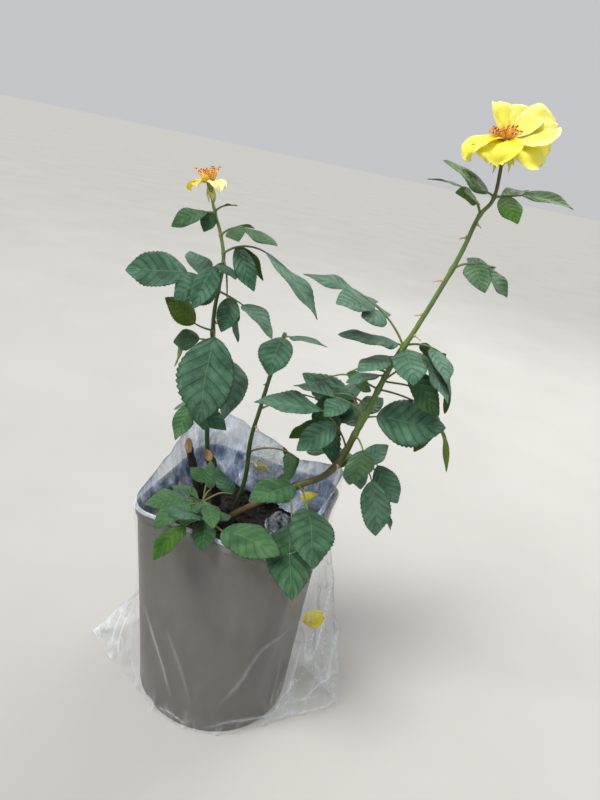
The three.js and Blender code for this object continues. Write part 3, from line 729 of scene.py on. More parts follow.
MATERIALS = {
    "pot": pot_material(),
    # The film's pale tints are the colour of its painted highlights and painted sheen.
    "film": film_material(
        "clear_film", (214, 222, 230), (246, 249, 252), clear=0.05, misty=0.14, edge_on_sheen=0.3),
    # The crumpled ball's near-black is painted shade inside it; its pale tint is the colour of its painted
    # highlights.
    "bead": film_material(
        "crumpled_film", (18, 20, 24), (236, 243, 250), clear=0.5, misty=0.3, edge_on_sheen=0.2),
    # Light and dark blues of the film inside the mouth: painted light and painted shade on its crumples.
    "film_inside": film_material(
        "film_inside", (146, 168, 206), (230, 241, 255), clear=0.3, misty=0.46, edge_on_sheen=0.4),
    "compost": plain_material("compost", (20, 17, 15), (46, 39, 33), 160, 0.95, 0.0015, 5),
    "crumb": plain_material("compost_crumbs", (28, 23, 19), (72, 61, 50), 240, 0.9, 0.0006),
    "cane": bark_material(
        "green_cane", (48, 78, 40), (78, 104, 52), (62, 70, 38), 0.42,
        stages=[(0.40, 0.55, [(88, 124, 62), (132, 152, 84), (112, 128, 64)])]),
    "old_cane": bark_material(
        "brown_cane", (84, 82, 44), (112, 106, 60), (106, 74, 48), 0.5,
        stages=[(0.30, 0.40, [(72, 108, 50), (118, 142, 72), (96, 122, 62)]),
                (0.595, 0.62, [(88, 80, 42), (118, 104, 58), (78, 86, 44)])]),
    "wood": bark_material("old_wood", (24, 18, 18), (62, 46, 42), (14, 12, 12), 0.8, 0.002),
    "cut": bark_material("cut_wood", (176, 132, 84), (204, 166, 118), (132, 90, 56), 0.7),
    "stalk": bark_material("leaf_stalk", (88, 112, 52), (126, 138, 70), (112, 92, 58), 0.45),
    "prickle": plain_material("prickle", (168, 128, 92), (206, 178, 140), 300, 0.4),
    # Each leaf green runs from a painted shaded colour to a painted lit one that holds painted sheen.
    "dark": leaf_material("leaf_dark", (40, 90, 62), (122, 176, 142), (148, 184, 140), 0.3, 0.5),
    "deep": leaf_material("leaf_deep", (32, 74, 46), (94, 144, 102), (128, 162, 110), 0.3, 0.5),
    "fresh": leaf_material("leaf_fresh", (42, 92, 54), (108, 158, 104), (146, 182, 114), 0.32, 0.45),
    "bright": leaf_material("leaf_bright", (50, 98, 34), (104, 154, 62), (132, 174, 84), 0.36, 0.3),
    "young": leaf_material("leaf_young", (90, 132, 30), (140, 172, 56), (164, 186, 88), 0.4),
    # The underside's yellow green is partly its own paler colour and partly painted light shining through
    # the leaf.
    "under": leaf_material("leaf_under", (66, 110, 26), (104, 146, 46), (140, 168, 84), 0.6, 0.2),
    "petal": petal_material("petal", (251, 218, 30), (252, 238, 66), (253, 250, 165)),
    "faded": petal_material(
        "faded_petal", (240, 178, 30), (246, 206, 60), (246, 236, 180), vein_strength=0.5),
    "fallen": petal_material(
        "fallen_petal", (244, 190, 36), (255, 226, 66), (255, 240, 130), vein_strength=0.5),
    "filament": plain_material("stamen_filament", (246, 176, 92), (252, 212, 120), 400, 0.5),
    "anther": plain_material("stamen_tip", (92, 48, 26), (168, 92, 40), 700, 0.7),
    "pollen": plain_material("stamen_pollen", (236, 134, 36), (250, 176, 60), 700, 0.7),
    "sepal": plain_material("sepal", (186, 190, 96), (228, 224, 150), 120, 0.55),
    "hip": plain_material("flower_hip", (98, 112, 54), (142, 138, 72), 160, 0.45),
    "floor": plain_material("floor", (176, 174, 168), (182, 180, 174), 3, 0.85),
}


# The leaf rule


def blade_spine(root, out, face, length, steps, curl):
    """The bent middle line of a blade, with the way up at each of its points."""
    across = face.cross(out).normalized()
    spine = [root.copy()]
    for k in range(steps):
        along = turn(out, across, curl * (k + 0.5) / steps)
        spine.append(spine[k] + along * (length / steps))
    ups = [turn(face, across, curl * k / steps) for k in range(steps + 1)]
    return across, spine, ups


def leaf_plans(cane, row, seed, heading_shift):
    """The stalk of one leaf, and for each of its leaflets the ways it may hang."""
    foot, tip, points = cane
    at, main_heading, rise, reach, bend, pairs, size, hang, roll, side_size, *rest = row[:-1]
    side_hang = rest[0] if rest else hang * SIDE_HANG
    heading = main_heading + heading_shift
    left = UP.cross(pointing(heading, 0))
    start = curve_point(points, at)
    stalk = [start + pointing(heading, rise) * mix(foot, tip, at)]
    ways = [pointing(heading, rise - bend * (i + 0.5) / STALK_BENDS) for i in range(STALK_BENDS)]
    for ahead in ways:
        stalk.append(stalk[-1] + ahead * (reach / STALK_BENDS))
    places = []
    for k in range(pairs):
        share = max(1 - (pairs - k) * PAIR_SPACING * size / reach, 0.12)
        length = size * side_size * (1 if pairs == 1 or k > 0 else 0.85)
        places += [(share, SIDE_LEAFLET_ANGLE, length), (share, -SIDE_LEAFLET_ANGLE, length)]
    leaflets = []
    for count, (share, angle, length) in enumerate([*places, (1, 0, size)], seed):
        place = share * STALK_BENDS
        step = min(int(place), STALK_BENDS - 1)
        ahead = ways[step]
        across = turn(left, ahead, roll)
        face = ahead.cross(across)
        swing = radians(angle + 5 * wobble(count))
        flat = ahead * cos(swing) + across * sin(swing)
        hinge = face.cross(flat).normalized()
        drop = (side_hang if angle else hang) + 6 * wobble(count + 0.5)
        leaflets.append([{
            "root": stalk[step].lerp(stalk[step + 1], place - step),
            "out": turn(flat, hinge, drop + shift),
            "face": turn(face, hinge, drop + shift),
            "length": length * (1 + 0.06 * wobble(count + 0.25)),
            "sunk": STALK_FOOT if angle else END_ROOT,
            "seed": count,
        } for shift in HANG_SHIFTS])
    return [start, *stalk], leaflets


def leaf_as_packed(node_name, cane, row, seed):
    """The stalk and leaflets that the CAD node kept: the tips that its mesh reaches tell which."""
    corners = [v.co / MILLIMETRE for v in NODES[node_name].data.vertices]

    def reached(entry):
        root = entry["root"] - entry["out"] * entry["sunk"]
        length = entry["length"] + entry["sunk"]
        _, spine, _ = blade_spine(root, entry["out"], entry["face"], length, CAD_RINGS, LEAFLET_CURL)
        return min((spine[-1] - corner).length for corner in corners) < TIP_REACHED

    def kept_at(shift):
        stalk, leaflets = leaf_plans(cane, row, seed, shift)
        found = [next(filter(reached, ways), None) for ways in leaflets]
        return stalk, [entry for entry in found if entry]

    return max(map(kept_at, HEADING_SHIFTS), key=lambda plan: len(plan[1]))


def leaf_outline(along):
    """Half the width at a share of the length: full below the middle and drawn out to a point."""
    return sin(pi * along**0.86) ** 0.72 * (1 - 0.22 * smooth_step(0.66, 1, along))


def leaflet(shape, entry, green):
    """One leaflet: toothed, folded along its midrib, waved at its edge, quilted between its veins."""
    root = entry["root"] - entry["out"] * entry["sunk"] * 0.5
    length = entry["length"] + entry["sunk"] * 0.5
    seed = entry["seed"]
    across, spine, ups = blade_spine(root, entry["out"], entry["face"], length, LEAF_ROWS, LEAFLET_CURL)
    half_width = length * entry["aspect"] / 2 * (1 + 0.08 * wobble(seed + 0.15))
    fold = LEAFLET_FOLD + 0.12 * wobble(seed + 0.2)
    droop = 0.14 + 0.12 * wobble(seed + 0.6)
    twist = 14 * wobble(seed + 0.7)
    beat = 5 + 1.5 * wobble(seed + 0.35)
    top = []
    low = []
    for k in range(LEAF_ROWS + 1):
        along = k / LEAF_ROWS
        taper = leaf_outline(limited(along, 0.0008, 0.9992))
        tooth = (along * TEETH) % 1
        notch = 0.085 * (tooth**1.6) * smooth_step(0.04, 0.15, along) * (1 - smooth_step(0.93, 1, along))
        side_way = turn(across, (ups[k].cross(across)).normalized(), twist * (along - 0.3))
        forward = way_at(spine, k)
        sway = 0.03 * length * sin(pi * along) * sin(2.6 * along + 3 * wobble(seed + 0.45))
        top.append([])
        low.append([])
        for c in range(LEAF_COLUMNS + 1):
            side = 2 * c / LEAF_COLUMNS - 1
            edge = abs(side)
            lean = 2.1 if side > 0 else 0
            reach = half_width * taper * (1 - notch * smooth_step(0.6, 1, edge))
            lift = half_width * taper * (fold * edge**1.3 - droop * edge**3)
            spot = Vector((along * 4, side * 2.4, seed * 1.7))
            quilt = abs(sin(pi * (along * SIDE_VEINS - edge * 1.7))) ** 0.8
            puff = 0.75 + 0.7 * noise(spot)
            lift += QUILTING * length * puff * (quilt - 0.6) * sin(pi * min(edge * 1.05, 1)) * taper
            lift += 0.02 * length * noise(spot * 0.8) * edge * taper
            wave = sin(beat * along + 6 * wobble(seed + 0.3) + lean)
            wave += 0.4 * sin(2.3 * beat * along + 5 * wobble(seed + 0.8) + 2 * lean)
            lift += EDGE_WAVE * length * wave * edge**2 * taper
            place = spine[k] + side_way * (side * reach) + ups[k] * lift + across * sway
            drawn = edge * (1 - tooth) * 0.02 * length * smooth_step(0.7, 1, edge) * taper
            place = place + forward * drawn
            top[k].append(place + ups[k] * LEAF_HALF_THICKNESS)
            low[k].append(place - ups[k] * (0.18 + 0.35 * (1 - edge) ** 3))
    shape.add_blade(top, low, (GREENS.index(green), len(GREENS)), 0.5 + 0.5 * wobble(seed + 0.1))


def fine_points(points, count, low=0.0):
    """Points evenly along the smooth curve, from a share of it to its end."""
    return [curve_point(points, mix(low, 1, i / count)) for i in range(count + 1)]


def leaf_stalk(stalks, points, low, tip, foot_swell, seed):
    """A leaf's stalk along the smooth curve through points."""
    radii = [mix(STALK_FOOT, tip, i / STALK_STEPS) for i in range(STALK_STEPS + 1)]
    radii[0] *= foot_swell
    tube(stalks, fine_points(points, STALK_STEPS, low), radii, STALK_SIDES, relief=0.12, seed=seed)


def small_leaflet(shape, stalks, cane, seed, at, root, tip, face, aspect, green):
    """A leaflet set between its root and its tip, on a fine stalk that arches from the cane."""
    root, tip, face = vectors([root, tip, face])
    chord = tip - root
    face = (face - chord * (face.dot(chord) / chord.length_squared)).normalized()
    hinge = face.cross(chord).normalized()
    out, face = (turn(v, hinge, -LEAFLET_CURL / 2) for v in (chord.normalized(), face))
    leaflet(shape, {"root": root, "out": out, "face": face, "length": chord.length, "sunk": 0, "seed": seed,
                    "aspect": aspect}, green)
    start = curve_point(cane[2], at)
    middle = start.lerp(root, 0.55) + UP * (0.16 * (root - start).length)
    leaf_stalk(stalks, [start, middle, root], 0, STALK_TIP * 0.8, 1, seed)


def make_leaves():
    """All the leaves and their stalks, joined cane by cane, every other leaf in one piece."""
    for group, (name, rows) in enumerate(LEAVES.items(), 1):
        cane = CANES[name]
        blades = [Shape(), Shape()]
        stalks = Shape()
        for k, row in enumerate(rows):
            node_name = f"leaf_{name}_{k + 1}"
            points, kept = leaf_as_packed(node_name, cane, row, 100 * group + 7 * k)
            leaf_stalk(stalks, points, 0.06, STALK_TIP, 1.7, k)
            for entry in kept:
                entry["aspect"] = LEAFLET_ASPECT * SLIM_LEAVES.get(node_name, 1)
                leaflet(blades[k % 2], entry, row[-1])
        for k, (home, *place) in enumerate(SMALL_LEAFLETS):
            if home == name:
                small_leaflet(blades[1], stalks, cane, 700 + 9 * k, *place)
        stalks.build(f"leaf_stalks_{name}", ["stalk"], "rose_leaf")
        for half in (0, 1):
            nodes = [f"leaf_{name}_{k + 1}" for k in range(half, len(rows), 2)]
            blades[half].build(f"leaves_{name}_{half + 1}", [*GREENS, "under"], "rose_leaf", nodes)


# Ways of shaping


def pick(*pieces):
    """Picks pieces and nothing else, the first as the active one."""
    bpy.ops.object.select_all(action="DESELECT")
    for piece in pieces:
        piece.select_set(True)
    bpy.context.view_layer.objects.active = pieces[0]


@contextlib.contextmanager
def editing():
    """Edit mode on the active piece, with all of it picked, for the lines inside."""
    bpy.ops.object.mode_set(mode="EDIT")
    bpy.ops.mesh.select_all(action="SELECT")
    yield
    bpy.ops.mesh.select_all(action="DESELECT")
    bpy.ops.object.mode_set(mode="OBJECT")


def raise_rings(name, rings):
    """A skin raised from a circle in edit mode, one extrusion a ring, then set to its rings.

    Each ring is a list of points, counter-clockwise from +X. A ring of one repeated point closes
    the skin there. Gives the piece, and for each of its vertices the ring and the place in it.
    """
    count = len(rings[0])
    bpy.ops.mesh.primitive_circle_add(vertices=count, radius=RING_STEP, location=(0, 0, 0))
    piece = bpy.context.active_object
    piece.name = name
    piece.data.name = name
    with editing():
        for _ in rings[1:]:
            bpy.ops.mesh.extrude_region_move(TRANSFORM_OT_translate={"value": (0, 0, RING_STEP)})
    spots = []
    for vertex in piece.data.vertices:
        level = round(vertex.co.z / RING_STEP)
        place = round(atan2(vertex.co.y, vertex.co.x) / (2 * pi) * count) % count
        vertex.co = rings[level][place] * MILLIMETRE
        spots.append((level, place))
    return piece, spots


def tidy(piece):
    """Merges what lies in one place and turns every face outwards."""
    pick(piece)
    with editing():
        bpy.ops.mesh.remove_doubles(threshold=0.000002)
        bpy.ops.mesh.normals_make_consistent(inside=False)


def finish(piece, materials, replaces=(), corner=40):
    """Gives a piece its materials and its place in the object."""
    pick(piece)
    bpy.ops.object.transform_apply(location=True, rotation=True, scale=True)
    bpy.ops.object.shade_smooth_by_angle(angle=radians(corner))
    for material in materials:
        piece.data.materials.append(MATERIALS[material])
    claim(piece, replaces)


def make_ringed(name, rings, material, node_name, corner):
    """A closed piece raised ring by ring."""
    piece, _ = raise_rings(name, rings)
    tidy(piece)
    finish(piece, [material], [node_name], corner)


def roughen(piece, depth, size):
    """Pushes a skin in and out by a soft noise, both in millimetres."""
    cloud = bpy.data.textures.new(f"{piece.name}_relief", "CLOUDS")
    cloud.noise_scale = size * MILLIMETRE
    cloud.noise_depth = 2
    relief = piece.modifiers.new("relief", "DISPLACE")
    relief.texture = cloud
    relief.strength = depth * MILLIMETRE
    relief.mid_level = 0.5
    relief.texture_coords = "LOCAL"
    bpy.ops.object.modifier_apply(modifier=relief.name)


def round_bar(name, points, radii):
    """A round bar drawn as a curve through points, with a radius at each, then made a mesh."""
    bpy.ops.curve.primitive_bezier_curve_add(location=(0, 0, 0))
    bar = bpy.context.active_object
    bar.name = name
    line = bar.data
    line.splines.clear()
    spline = line.splines.new("POLY")
    spline.points.add(len(points) - 1)
    for spot, point, radius in zip(spline.points, points, radii):
        spot.co = (*(point * MILLIMETRE), 1)
        spot.radius = radius
    line.bevel_depth = MILLIMETRE
    line.bevel_resolution = BAR_ROUNDING
    line.use_fill_caps = True
    line.twist_mode = "MINIMUM"
    bpy.ops.object.convert(target="MESH")
    return bpy.context.active_object


# Canes, stubs and the crown


def prickle(cane, at, heading, length):
    """A hooked prickle: a slim cone on a broad foot, its point drawn down the cane."""
    foot, tip, points = cane
    out = pointing(heading, -10)
    middle = curve_point(points, at) + out * (mix(foot, tip, at) * 0.7 + length / 2)
    bpy.ops.mesh.primitive_cone_add(
        vertices=PRICKLE_SIDES, radius1=PRICKLE_FOOT * MILLIMETRE, radius2=PRICKLE_TIP * MILLIMETRE,
        depth=length * MILLIMETRE, location=middle * MILLIMETRE,
        rotation=out.to_track_quat("Z", "Y").to_euler())
    thorn = bpy.context.active_object
    with editing():
        bpy.ops.mesh.subdivide(number_cuts=PRICKLE_CUTS)
    bpy.ops.object.transform_apply(location=True, rotation=True, scale=True)
    down = -way(points, at)
    for vertex in thorn.data.vertices:
        spot = vertex.co / MILLIMETRE - middle
        share = limited(spot.dot(out) / length + 0.5)
        aside = spot - out * spot.dot(out)
        slim = aside * (1 - 0.55 * sin(pi * min(share * 1.3, 1)))
        vertex.co = (middle + out * spot.dot(out) + slim + down * (PRICKLE_HOOK * share**2)) * MILLIMETRE
    return thorn


def make_canes():
    """Each cane as a bar swollen where a leaf leaves it, with its prickles joined on."""
    for name, cane in CANES.items():
        foot, tip, points = cane
        steps = CANE_STEPS * len(points)
        radii = []
        for i in range(steps + 1):
            at = i / steps
            swell = sum(exp(-((at - row[0]) / JOINT_REACH) ** 2) for row in LEAVES[name])
            share = mix(0.86, 0.74, smooth_step(0.3, 0.5, at)) if name in ("left", "right") else 0.88
            radii.append(mix(foot, tip, at) * (share + JOINT_SWELL * min(swell, 1.2)))
        node_name = "low_shoot" if name == "low" else f"cane_{name}"
        bark = round_bar(f"{node_name}_bark", fine_points(points, steps), radii)
        roughen(bark, depth=0.5, size=6)
        finish(bark, ["old_cane" if name == "right" else "cane"], [node_name])
        thorns = [prickle(cane, *row[1:]) for row in PRICKLES if row[0] == name]
        if thorns:
            pick(*thorns)
            bpy.ops.object.join()
            thorns[0].name = f"{node_name}_prickles"
            finish(thorns[0], ["prickle"], corner=60)


def make_stubs():
    """Two dead stubs, each sawn off at a slant."""
    for name, (foot, tip, points, slant) in STUBS.items():
        line = fine_points(points, STUB_STEPS)
        radii = [mix(foot, tip, i / STUB_STEPS) * (1 + 0.1 * wobble(i // 6 + foot))
                 for i in range(STUB_STEPS + 1)]
        stub = round_bar(f"stub_{name}_bark", line, radii)
        roughen(stub, depth=3, size=6)
        tidy(stub)
        finish(stub, ["wood", "cut"], [f"cut_stub_{name}"])
        tilt = radians(slant)
        drop = radii[-1] * tan(tilt)
        with editing():
            bpy.ops.mesh.bisect(
                plane_co=(line[-1] - drop * UP) * MILLIMETRE, plane_no=(0, -sin(tilt), cos(tilt)),
                use_fill=True, clear_outer=True)
            stub.active_material_index = 1
            bpy.ops.object.material_slot_assign()


def round_ring(radius_at, height, count, middle=(0, 0)):
    """A level ring of points whose radius is worked out for each angle in plan."""
    start = Vector((*middle, 0))
    return [start + in_plan(angle, radius_at(angle), height) for angle in round_angles(count)]


def one_point_ring(height, count, middle=(0, 0)):
    return [Vector((*middle, height))] * count


def make_crown():
    """The knuckle of old wood that every cane leaves."""
    middle = CROWN["at"]
    foot = GROUND + 0.4
    top = foot + CROWN["height"] - 1

    def lumpy_ring(radius, height):
        def reach(angle):
            spot = in_plan(angle, 1, height * 0.1) * 1.6
            return radius * (1 + CROWN_LUMPS * noise(spot) + CROWN_LUMPS * 0.4 * noise(spot * 3.3))
        return round_ring(reach, height, CROWN_SIDES, middle)

    rings = [one_point_ring(foot, CROWN_SIDES, middle)]
    for i in range(CROWN_RINGS + 1):
        share = i / CROWN_RINGS
        radius = mix(CROWN["foot"], CROWN["tip"], share) * (1 - 0.3 * share**4)
        rings.append(lumpy_ring(radius * 0.92, mix(foot, top, share)))
    rings.append(lumpy_ring(CROWN["tip"] * 0.4, top + 0.4))
    rings.append(one_point_ring(top, CROWN_SIDES, middle))
    make_ringed("crown_wood", rings, "wood", "crown", 60)


# Pot and compost


def square_reach(angle, half, corner):
    """Distance from the middle to the edge of a square with round corners."""
    c = abs(cos(angle))
    s = abs(sin(angle))
    straight = half / max(c, s)
    inner = half - corner
    if straight * c <= inner or straight * s <= inner:
        return straight
    middle = inner * (c + s)
    return middle + sqrt(max(middle**2 - 2 * inner**2 + corner**2, 0))


def pot_reach(angle, height):
    """Distance from the middle to the pot's side, square at the mouth and round at the foot."""
    share = min(height / POT_HEIGHT, 1)
    return (1 - share) * FOOT_RADIUS + share * square_reach(angle, MOUTH_SIDE / 2, MOUTH_CORNER)


def notched(angle, height):
    """How far a drain notch of the foot goes in at a place on the pot's side."""
    room = NOTCH_RADIUS**2 - (height + NOTCH_DROP) ** 2
    for notch in NOTCH_ANGLES:
        off = radians((degrees(angle) - notch + 180) % 360 - 180) * FOOT_RADIUS
        if room > 0 and abs(off) < sqrt(room):
            return NOTCH_DEPTH
    return 0


def make_pot():
    """The pot's whole shell: its foot, side, lip, inside and floor."""
    under = POT_HEIGHT - LIP_HEIGHT
    profile = [(-2.5, 0.0), (-0.7, 0.3), (0, 1.2), (0, 3), (0, 5), (0, 5.9), (0, 6.2)]
    profile += [(0.0, mix(7, under - 2, i / 20)) for i in range(21)]
    profile += [(0.2, under), (LIP_OUT - 0.5, under + 0.9), (LIP_OUT, under + 1.8),
                (LIP_OUT, POT_HEIGHT - 1.2), (LIP_OUT - 0.7, POT_HEIGHT - 0.2), (LIP_OUT - 1.8, POT_HEIGHT),
                (-POT_WALL + 1, POT_HEIGHT - 0.1), (-POT_WALL, POT_HEIGHT - 1)]
    profile += [(-POT_WALL, mix(POT_HEIGHT - 1, INSIDE_FOOT, i / 10)) for i in range(1, 11)]
    rings = [one_point_ring(0, POT_SIDES)]
    for out, height in profile:
        rings.append(round_ring(lambda angle: pot_reach(angle, height) + out - notched(angle, height),
                                height, POT_SIDES))
    rings.append(one_point_ring(INSIDE_FOOT, POT_SIDES))
    make_ringed("pot_body", rings, "pot", "pot", 35)


def make_compost():
    """Crumbly compost with small lumps and bits of bark on it."""
    rings = []
    for i in range(COMPOST_RINGS + 1):
        share = i / COMPOST_RINGS
        ring = round_ring(lambda angle: (pot_reach(angle, GROUND) - POT_WALL - 0.5) * share,
                          GROUND, COMPOST_SIDES)
        for point in ring:
            spot = point * 0.09
            point.z += -COMPOST_SAG * share**2 + 1.3 * noise(spot) + 1.1 * noise(spot * 3.3) - 1
        rings.append(ring)
    low = GROUND - COMPOST_DEPTH
    rings.append([Vector((p.x, p.y, low)) for p in rings[-1]])
    rings.append(one_point_ring(low, COMPOST_SIDES))
    make_ringed("compost_top", rings, "compost", "compost", 70)
    crumbs = Shape()
    dice = random.Random(5)
    for _ in range(CRUMB_COUNT):
        angle = dice.uniform(0, 2 * pi)
        share = sqrt(dice.uniform(0, 1)) * 0.97
        reach = (pot_reach(angle, GROUND) - POT_WALL - 2) * share
        size = dice.uniform(0.8, 2.6)
        middle = in_plan(angle, reach, GROUND - COMPOST_SAG * share**2 - 0.2)
        spin = Quaternion([dice.uniform(-1, 1) for _ in range(3)], dice.uniform(0, 3))
        stretch = dice.uniform(0.8, 2.4)
        rows = []
        for latitude in CRUMB_LATITUDES:
            row = []
            for c in range(CRUMB_SIDES):
                out = pointing(c * 360 / CRUMB_SIDES, latitude) * size * (1 + 0.25 * dice.uniform(-1, 1))
                out.x *= stretch
                row.append(middle + spin @ out)
            rows.append(row)
        crumbs.add_grid(rows, closed=True, shade=dice.random())
        crumbs.add_cap(rows[0], flip=True)
        crumbs.add_cap(rows[-1])
    crumbs.build("compost_crumbs", ["crumb"], "compost")


# Film bag


def ear_reach(ear, angle, height, radius):
    """How far a flattened corner of the bag pulls the film out."""
    at, top, power = ear
    if height >= top:
        return radius
    reach = radius + (FILM_EAR_REACH - radius) * (1 - height / top) ** power
    swing = acos(min(radius / reach, 1))
    off = abs(atan2(sin(angle - radians(at)), cos(angle - radians(at))))
    return radius / cos(off - swing) if off < swing else radius


def ridged(spot):
    """A noise that is 1 on thin crooked lines and falls away from them on both sides."""
    return 1 - min(abs(noise(spot)) * 4, 1)


def crease_at(angle, height):
    """How much the pulled creases lift the film at a place, and how bright their painted highlight is
    there.
    """
    lift = 0
    painted_light = 0
    for (middle, line), rise, width, bright in FILM_CREASES:
        turned = (degrees(angle) - middle + 180) % 360 - 180
        if abs(turned) * FILM_ARC > CREASE_ROOM:
            continue
        place = Vector((turned * FILM_ARC, height))
        nearest = 1000
        for i, (a, b) in enumerate(zip(line, line[1:])):
            step = b - a
            share = limited((place - a).dot(step) / step.length_squared)
            off = (place - a - step * share).length
            if off < nearest:
                nearest = off
                along = (i + share) / (len(line) - 1)
        fade = sin(pi * limited(along, 0.04, 0.96)) ** 0.6
        lift += rise * exp(-nearest / width) * fade
        painted_light = max(painted_light, bright * exp(-(nearest / (0.28 * width)) ** 2) * fade)
    return lift, painted_light


def faced(angle, at):
    """1 at an angle given in degrees, and 0 from square to it on."""
    return max(cos(angle - radians(at)), 0)


def film_crest(angle):
    """Height of the bag's upper edge."""
    rise = max(r * faced(angle, at) ** 1.4 for at, r in FILM_CREST_BUMPS)
    crumple = noise(in_plan(angle, 6, 1.7))
    return FILM_CREST + rise * (1 + 0.08 * sin(9 * angle) + 0.16 * crumple)


# Each of the next three gives, for a place on a band of the film, its distance from the middle,
# its height, how loose it hangs and how bright its painted light is: painted highlights on the
# creases and fold lines, and painted light on the lit film inside the mouth


def film_wall(angle, share):
    """From the hem up to the lip."""
    height = mix(FILM_HEM, FILM_LIP, share)
    free = sin(pi * min(height / POT_HEIGHT, 1))
    sag = 2.2 * (1 + sin(5 * angle + height / 45)) * (0.25 + free)
    tight = pot_reach(angle, height) + FILM_CLEAR + sag
    reach = max(ear_reach(ear, angle, height, tight) for ear in FILM_EARS)
    loose = limited((reach - tight) / 14)
    low = exp(-height / 10)
    spot = in_plan(angle, reach * 0.026, height * 0.006)
    fold = ridged(spot)
    small = ridged(Vector((spot.x * 2.2 + 5, spot.y * 2.2 + 3, height * 0.02)))
    lift, painted_light = crease_at(angle, height)
    rim = 1 - limited((reach - 128) / 30) * 0.8
    reach += lift + ((loose * 3.2 + low * 2) * fold + (loose * 0.8 + low * 0.7) * small) * rim
    # Painted highlights: glints on the fold lines and facets of the loose film and of the hem, over those
    # of the creases.
    facet = max(noise(spot * 1.9 + Vector((9, 1, 4))), 0)
    painted_light = max(painted_light, loose * 0.75 * fold**5, loose * 0.5 * small**7, low * 0.75 * fold**3,
                low * 0.5 * small**4, loose * 0.55 * facet)
    over_lip = pot_reach(angle, height) + LIP_OUT + FILM_CLEAR
    blend = smooth_step(POT_HEIGHT - 30, FILM_LIP, height)
    return mix(reach, over_lip, blend), height, mix(min(loose + low * 0.7, 1), 0.3, blend), painted_light


def film_top(angle, share):
    """From the lip up to the crest."""
    spot = in_plan(angle, 5, share * 1.4)
    crest = film_crest(angle)
    stand = (crest - FILM_CREST) / 40
    fold = ridged(in_plan(angle, 7, share * 0.6))
    reach = pot_reach(angle, FILM_LIP) + mix(LIP_OUT + FILM_CLEAR, 0.8, share)
    reach += stand * (5 * noise(spot) + 2.5 * fold) * sin(pi * share * 0.9)
    # Painted highlights: a bright line along the crest, glints on the fold lines of the standing crest, and
    # a pale band where the film lies over the lip.
    painted_light = max(0.55 * share**8, 0.45 * fold**7 * stand, 0.5 * (1 - min(stand * 3, 1)))
    return reach, mix(FILM_LIP, crest, sin(share * pi / 2)), 0.4 * (1 - stand), painted_light


def film_inside(angle, share):
    """From the crest down inside the mouth."""
    spot = in_plan(angle, 1, 0) * 5.5 + UP * (4 + share * 2.2)
    height = mix(film_crest(angle), FILM_TUCK - 2 + 6 * noise(spot * 0.6), share)
    depth = mix(-0.4, POT_WALL + FILM_CLEAR, smooth_step(0, 0.35, share))
    fold = ridged(spot * 0.8)
    small = ridged(spot * 2.2)
    inward = (5 * fold + 1.8 * small + 2 * noise(spot * 0.5)) * smooth_step(0.1, 0.5, share)
    spill = faced(angle, 35) ** 1.5
    inward += (14 + 20 * spill) * (1 + 0.6 * noise(spot * 0.7)) * smooth_step(0.72, 1, share)
    # Painted light: the film inside is painted brightest at the back of the mouth, as lit there, with
    # painted highlights on its fold lines.
    lit = 0.18 + 0.55 * faced(angle, 62)
    painted_light = lit * (0.5 + 0.5 * noise(spot * 1.3)) + 0.5 * fold**8 + 0.35 * small**8
    return pot_reach(angle, FILM_LIP) - depth - max(inward, 0), height, 1, painted_light


def paint(piece, name, values):
    """A number for each vertex, which a material may read."""
    piece.data.attributes.new(name, "FLOAT", "POINT").data.foreach_set("value", values)


def make_film():
    """The bag as one thin sheet: hem, outer wall, crest, and the part turned down inside."""
    bands = [(film_wall, 0, FILM_WALL_ROWS), (film_top, 1, FILM_TOP_ROWS),
             (film_inside, 1, FILM_INSIDE_ROWS)]
    places = [[(angle, *band(angle, i / last)) for angle in round_angles(FILM_SIDES)]
              for band, first, last in bands for i in range(first, last + 1)]
    rings = [[in_plan(*place[:3]) for place in ring] for ring in places]
    sheet, spots = raise_rings("film_sheet", rings)
    paint(sheet, "loose", [places[level][c][3] for level, c in spots])
    paint(sheet, "shade", [places[level][c][4] for level, c in spots])
    for face in sheet.data.polygons:
        lowest = min(spots[v][0] for v in face.vertices)
        face.material_index = 1 if lowest >= FILM_WALL_ROWS + FILM_TOP_ROWS else 0
    finish(sheet, ["film", "film_inside"], ["film_bag"], 60)
    for name, middle, size, material, haze in FILM_POCKETS:
        bpy.ops.mesh.primitive_ico_sphere_add(subdivisions=6, radius=MILLIMETRE, location=(0, 0, 0))
        pocket = bpy.context.active_object
        pocket.name = name
        folds = []
        for vertex in pocket.data.vertices:
            out = vertex.co.normalized()
            # Painted highlights on the fold lines of each pocket, over its haze.
            fold = ridged(out * 1.7 + Vector(middle) * 0.1)
            small = ridged(out * 4.5)
            folds.append(haze + 0.55 * fold**6 + 0.5 * small**7)
            scale = 0.86 + 0.12 * fold + 0.04 * small
            vertex.co = Vector([m + s * o * scale for m, s, o in zip(middle, size, out)]) * MILLIMETRE
        paint(pocket, "shade", folds)
        paint(pocket, "loose", [1.0] * len(folds))
        finish(pocket, [material], corner=60)


# Blooms


class Bloom:
    """The foot of a bloom and the directions of its own axes."""

    def __init__(self, foot, axis):
        self.foot = foot
        self.up = axis.normalized()
        self.east = (Vector((1, 0, 0)) - self.up * self.up.x).normalized()
        self.north = self.up.cross(self.east)

    def out(self, angle, rise):
        level = cos(radians(rise))
        turned = radians(angle)
        return (self.up * sin(radians(rise)) + self.east * (level * cos(turned))
                + self.north * (level * sin(turned)))

    def above(self, height):
        return self.foot + self.up * height


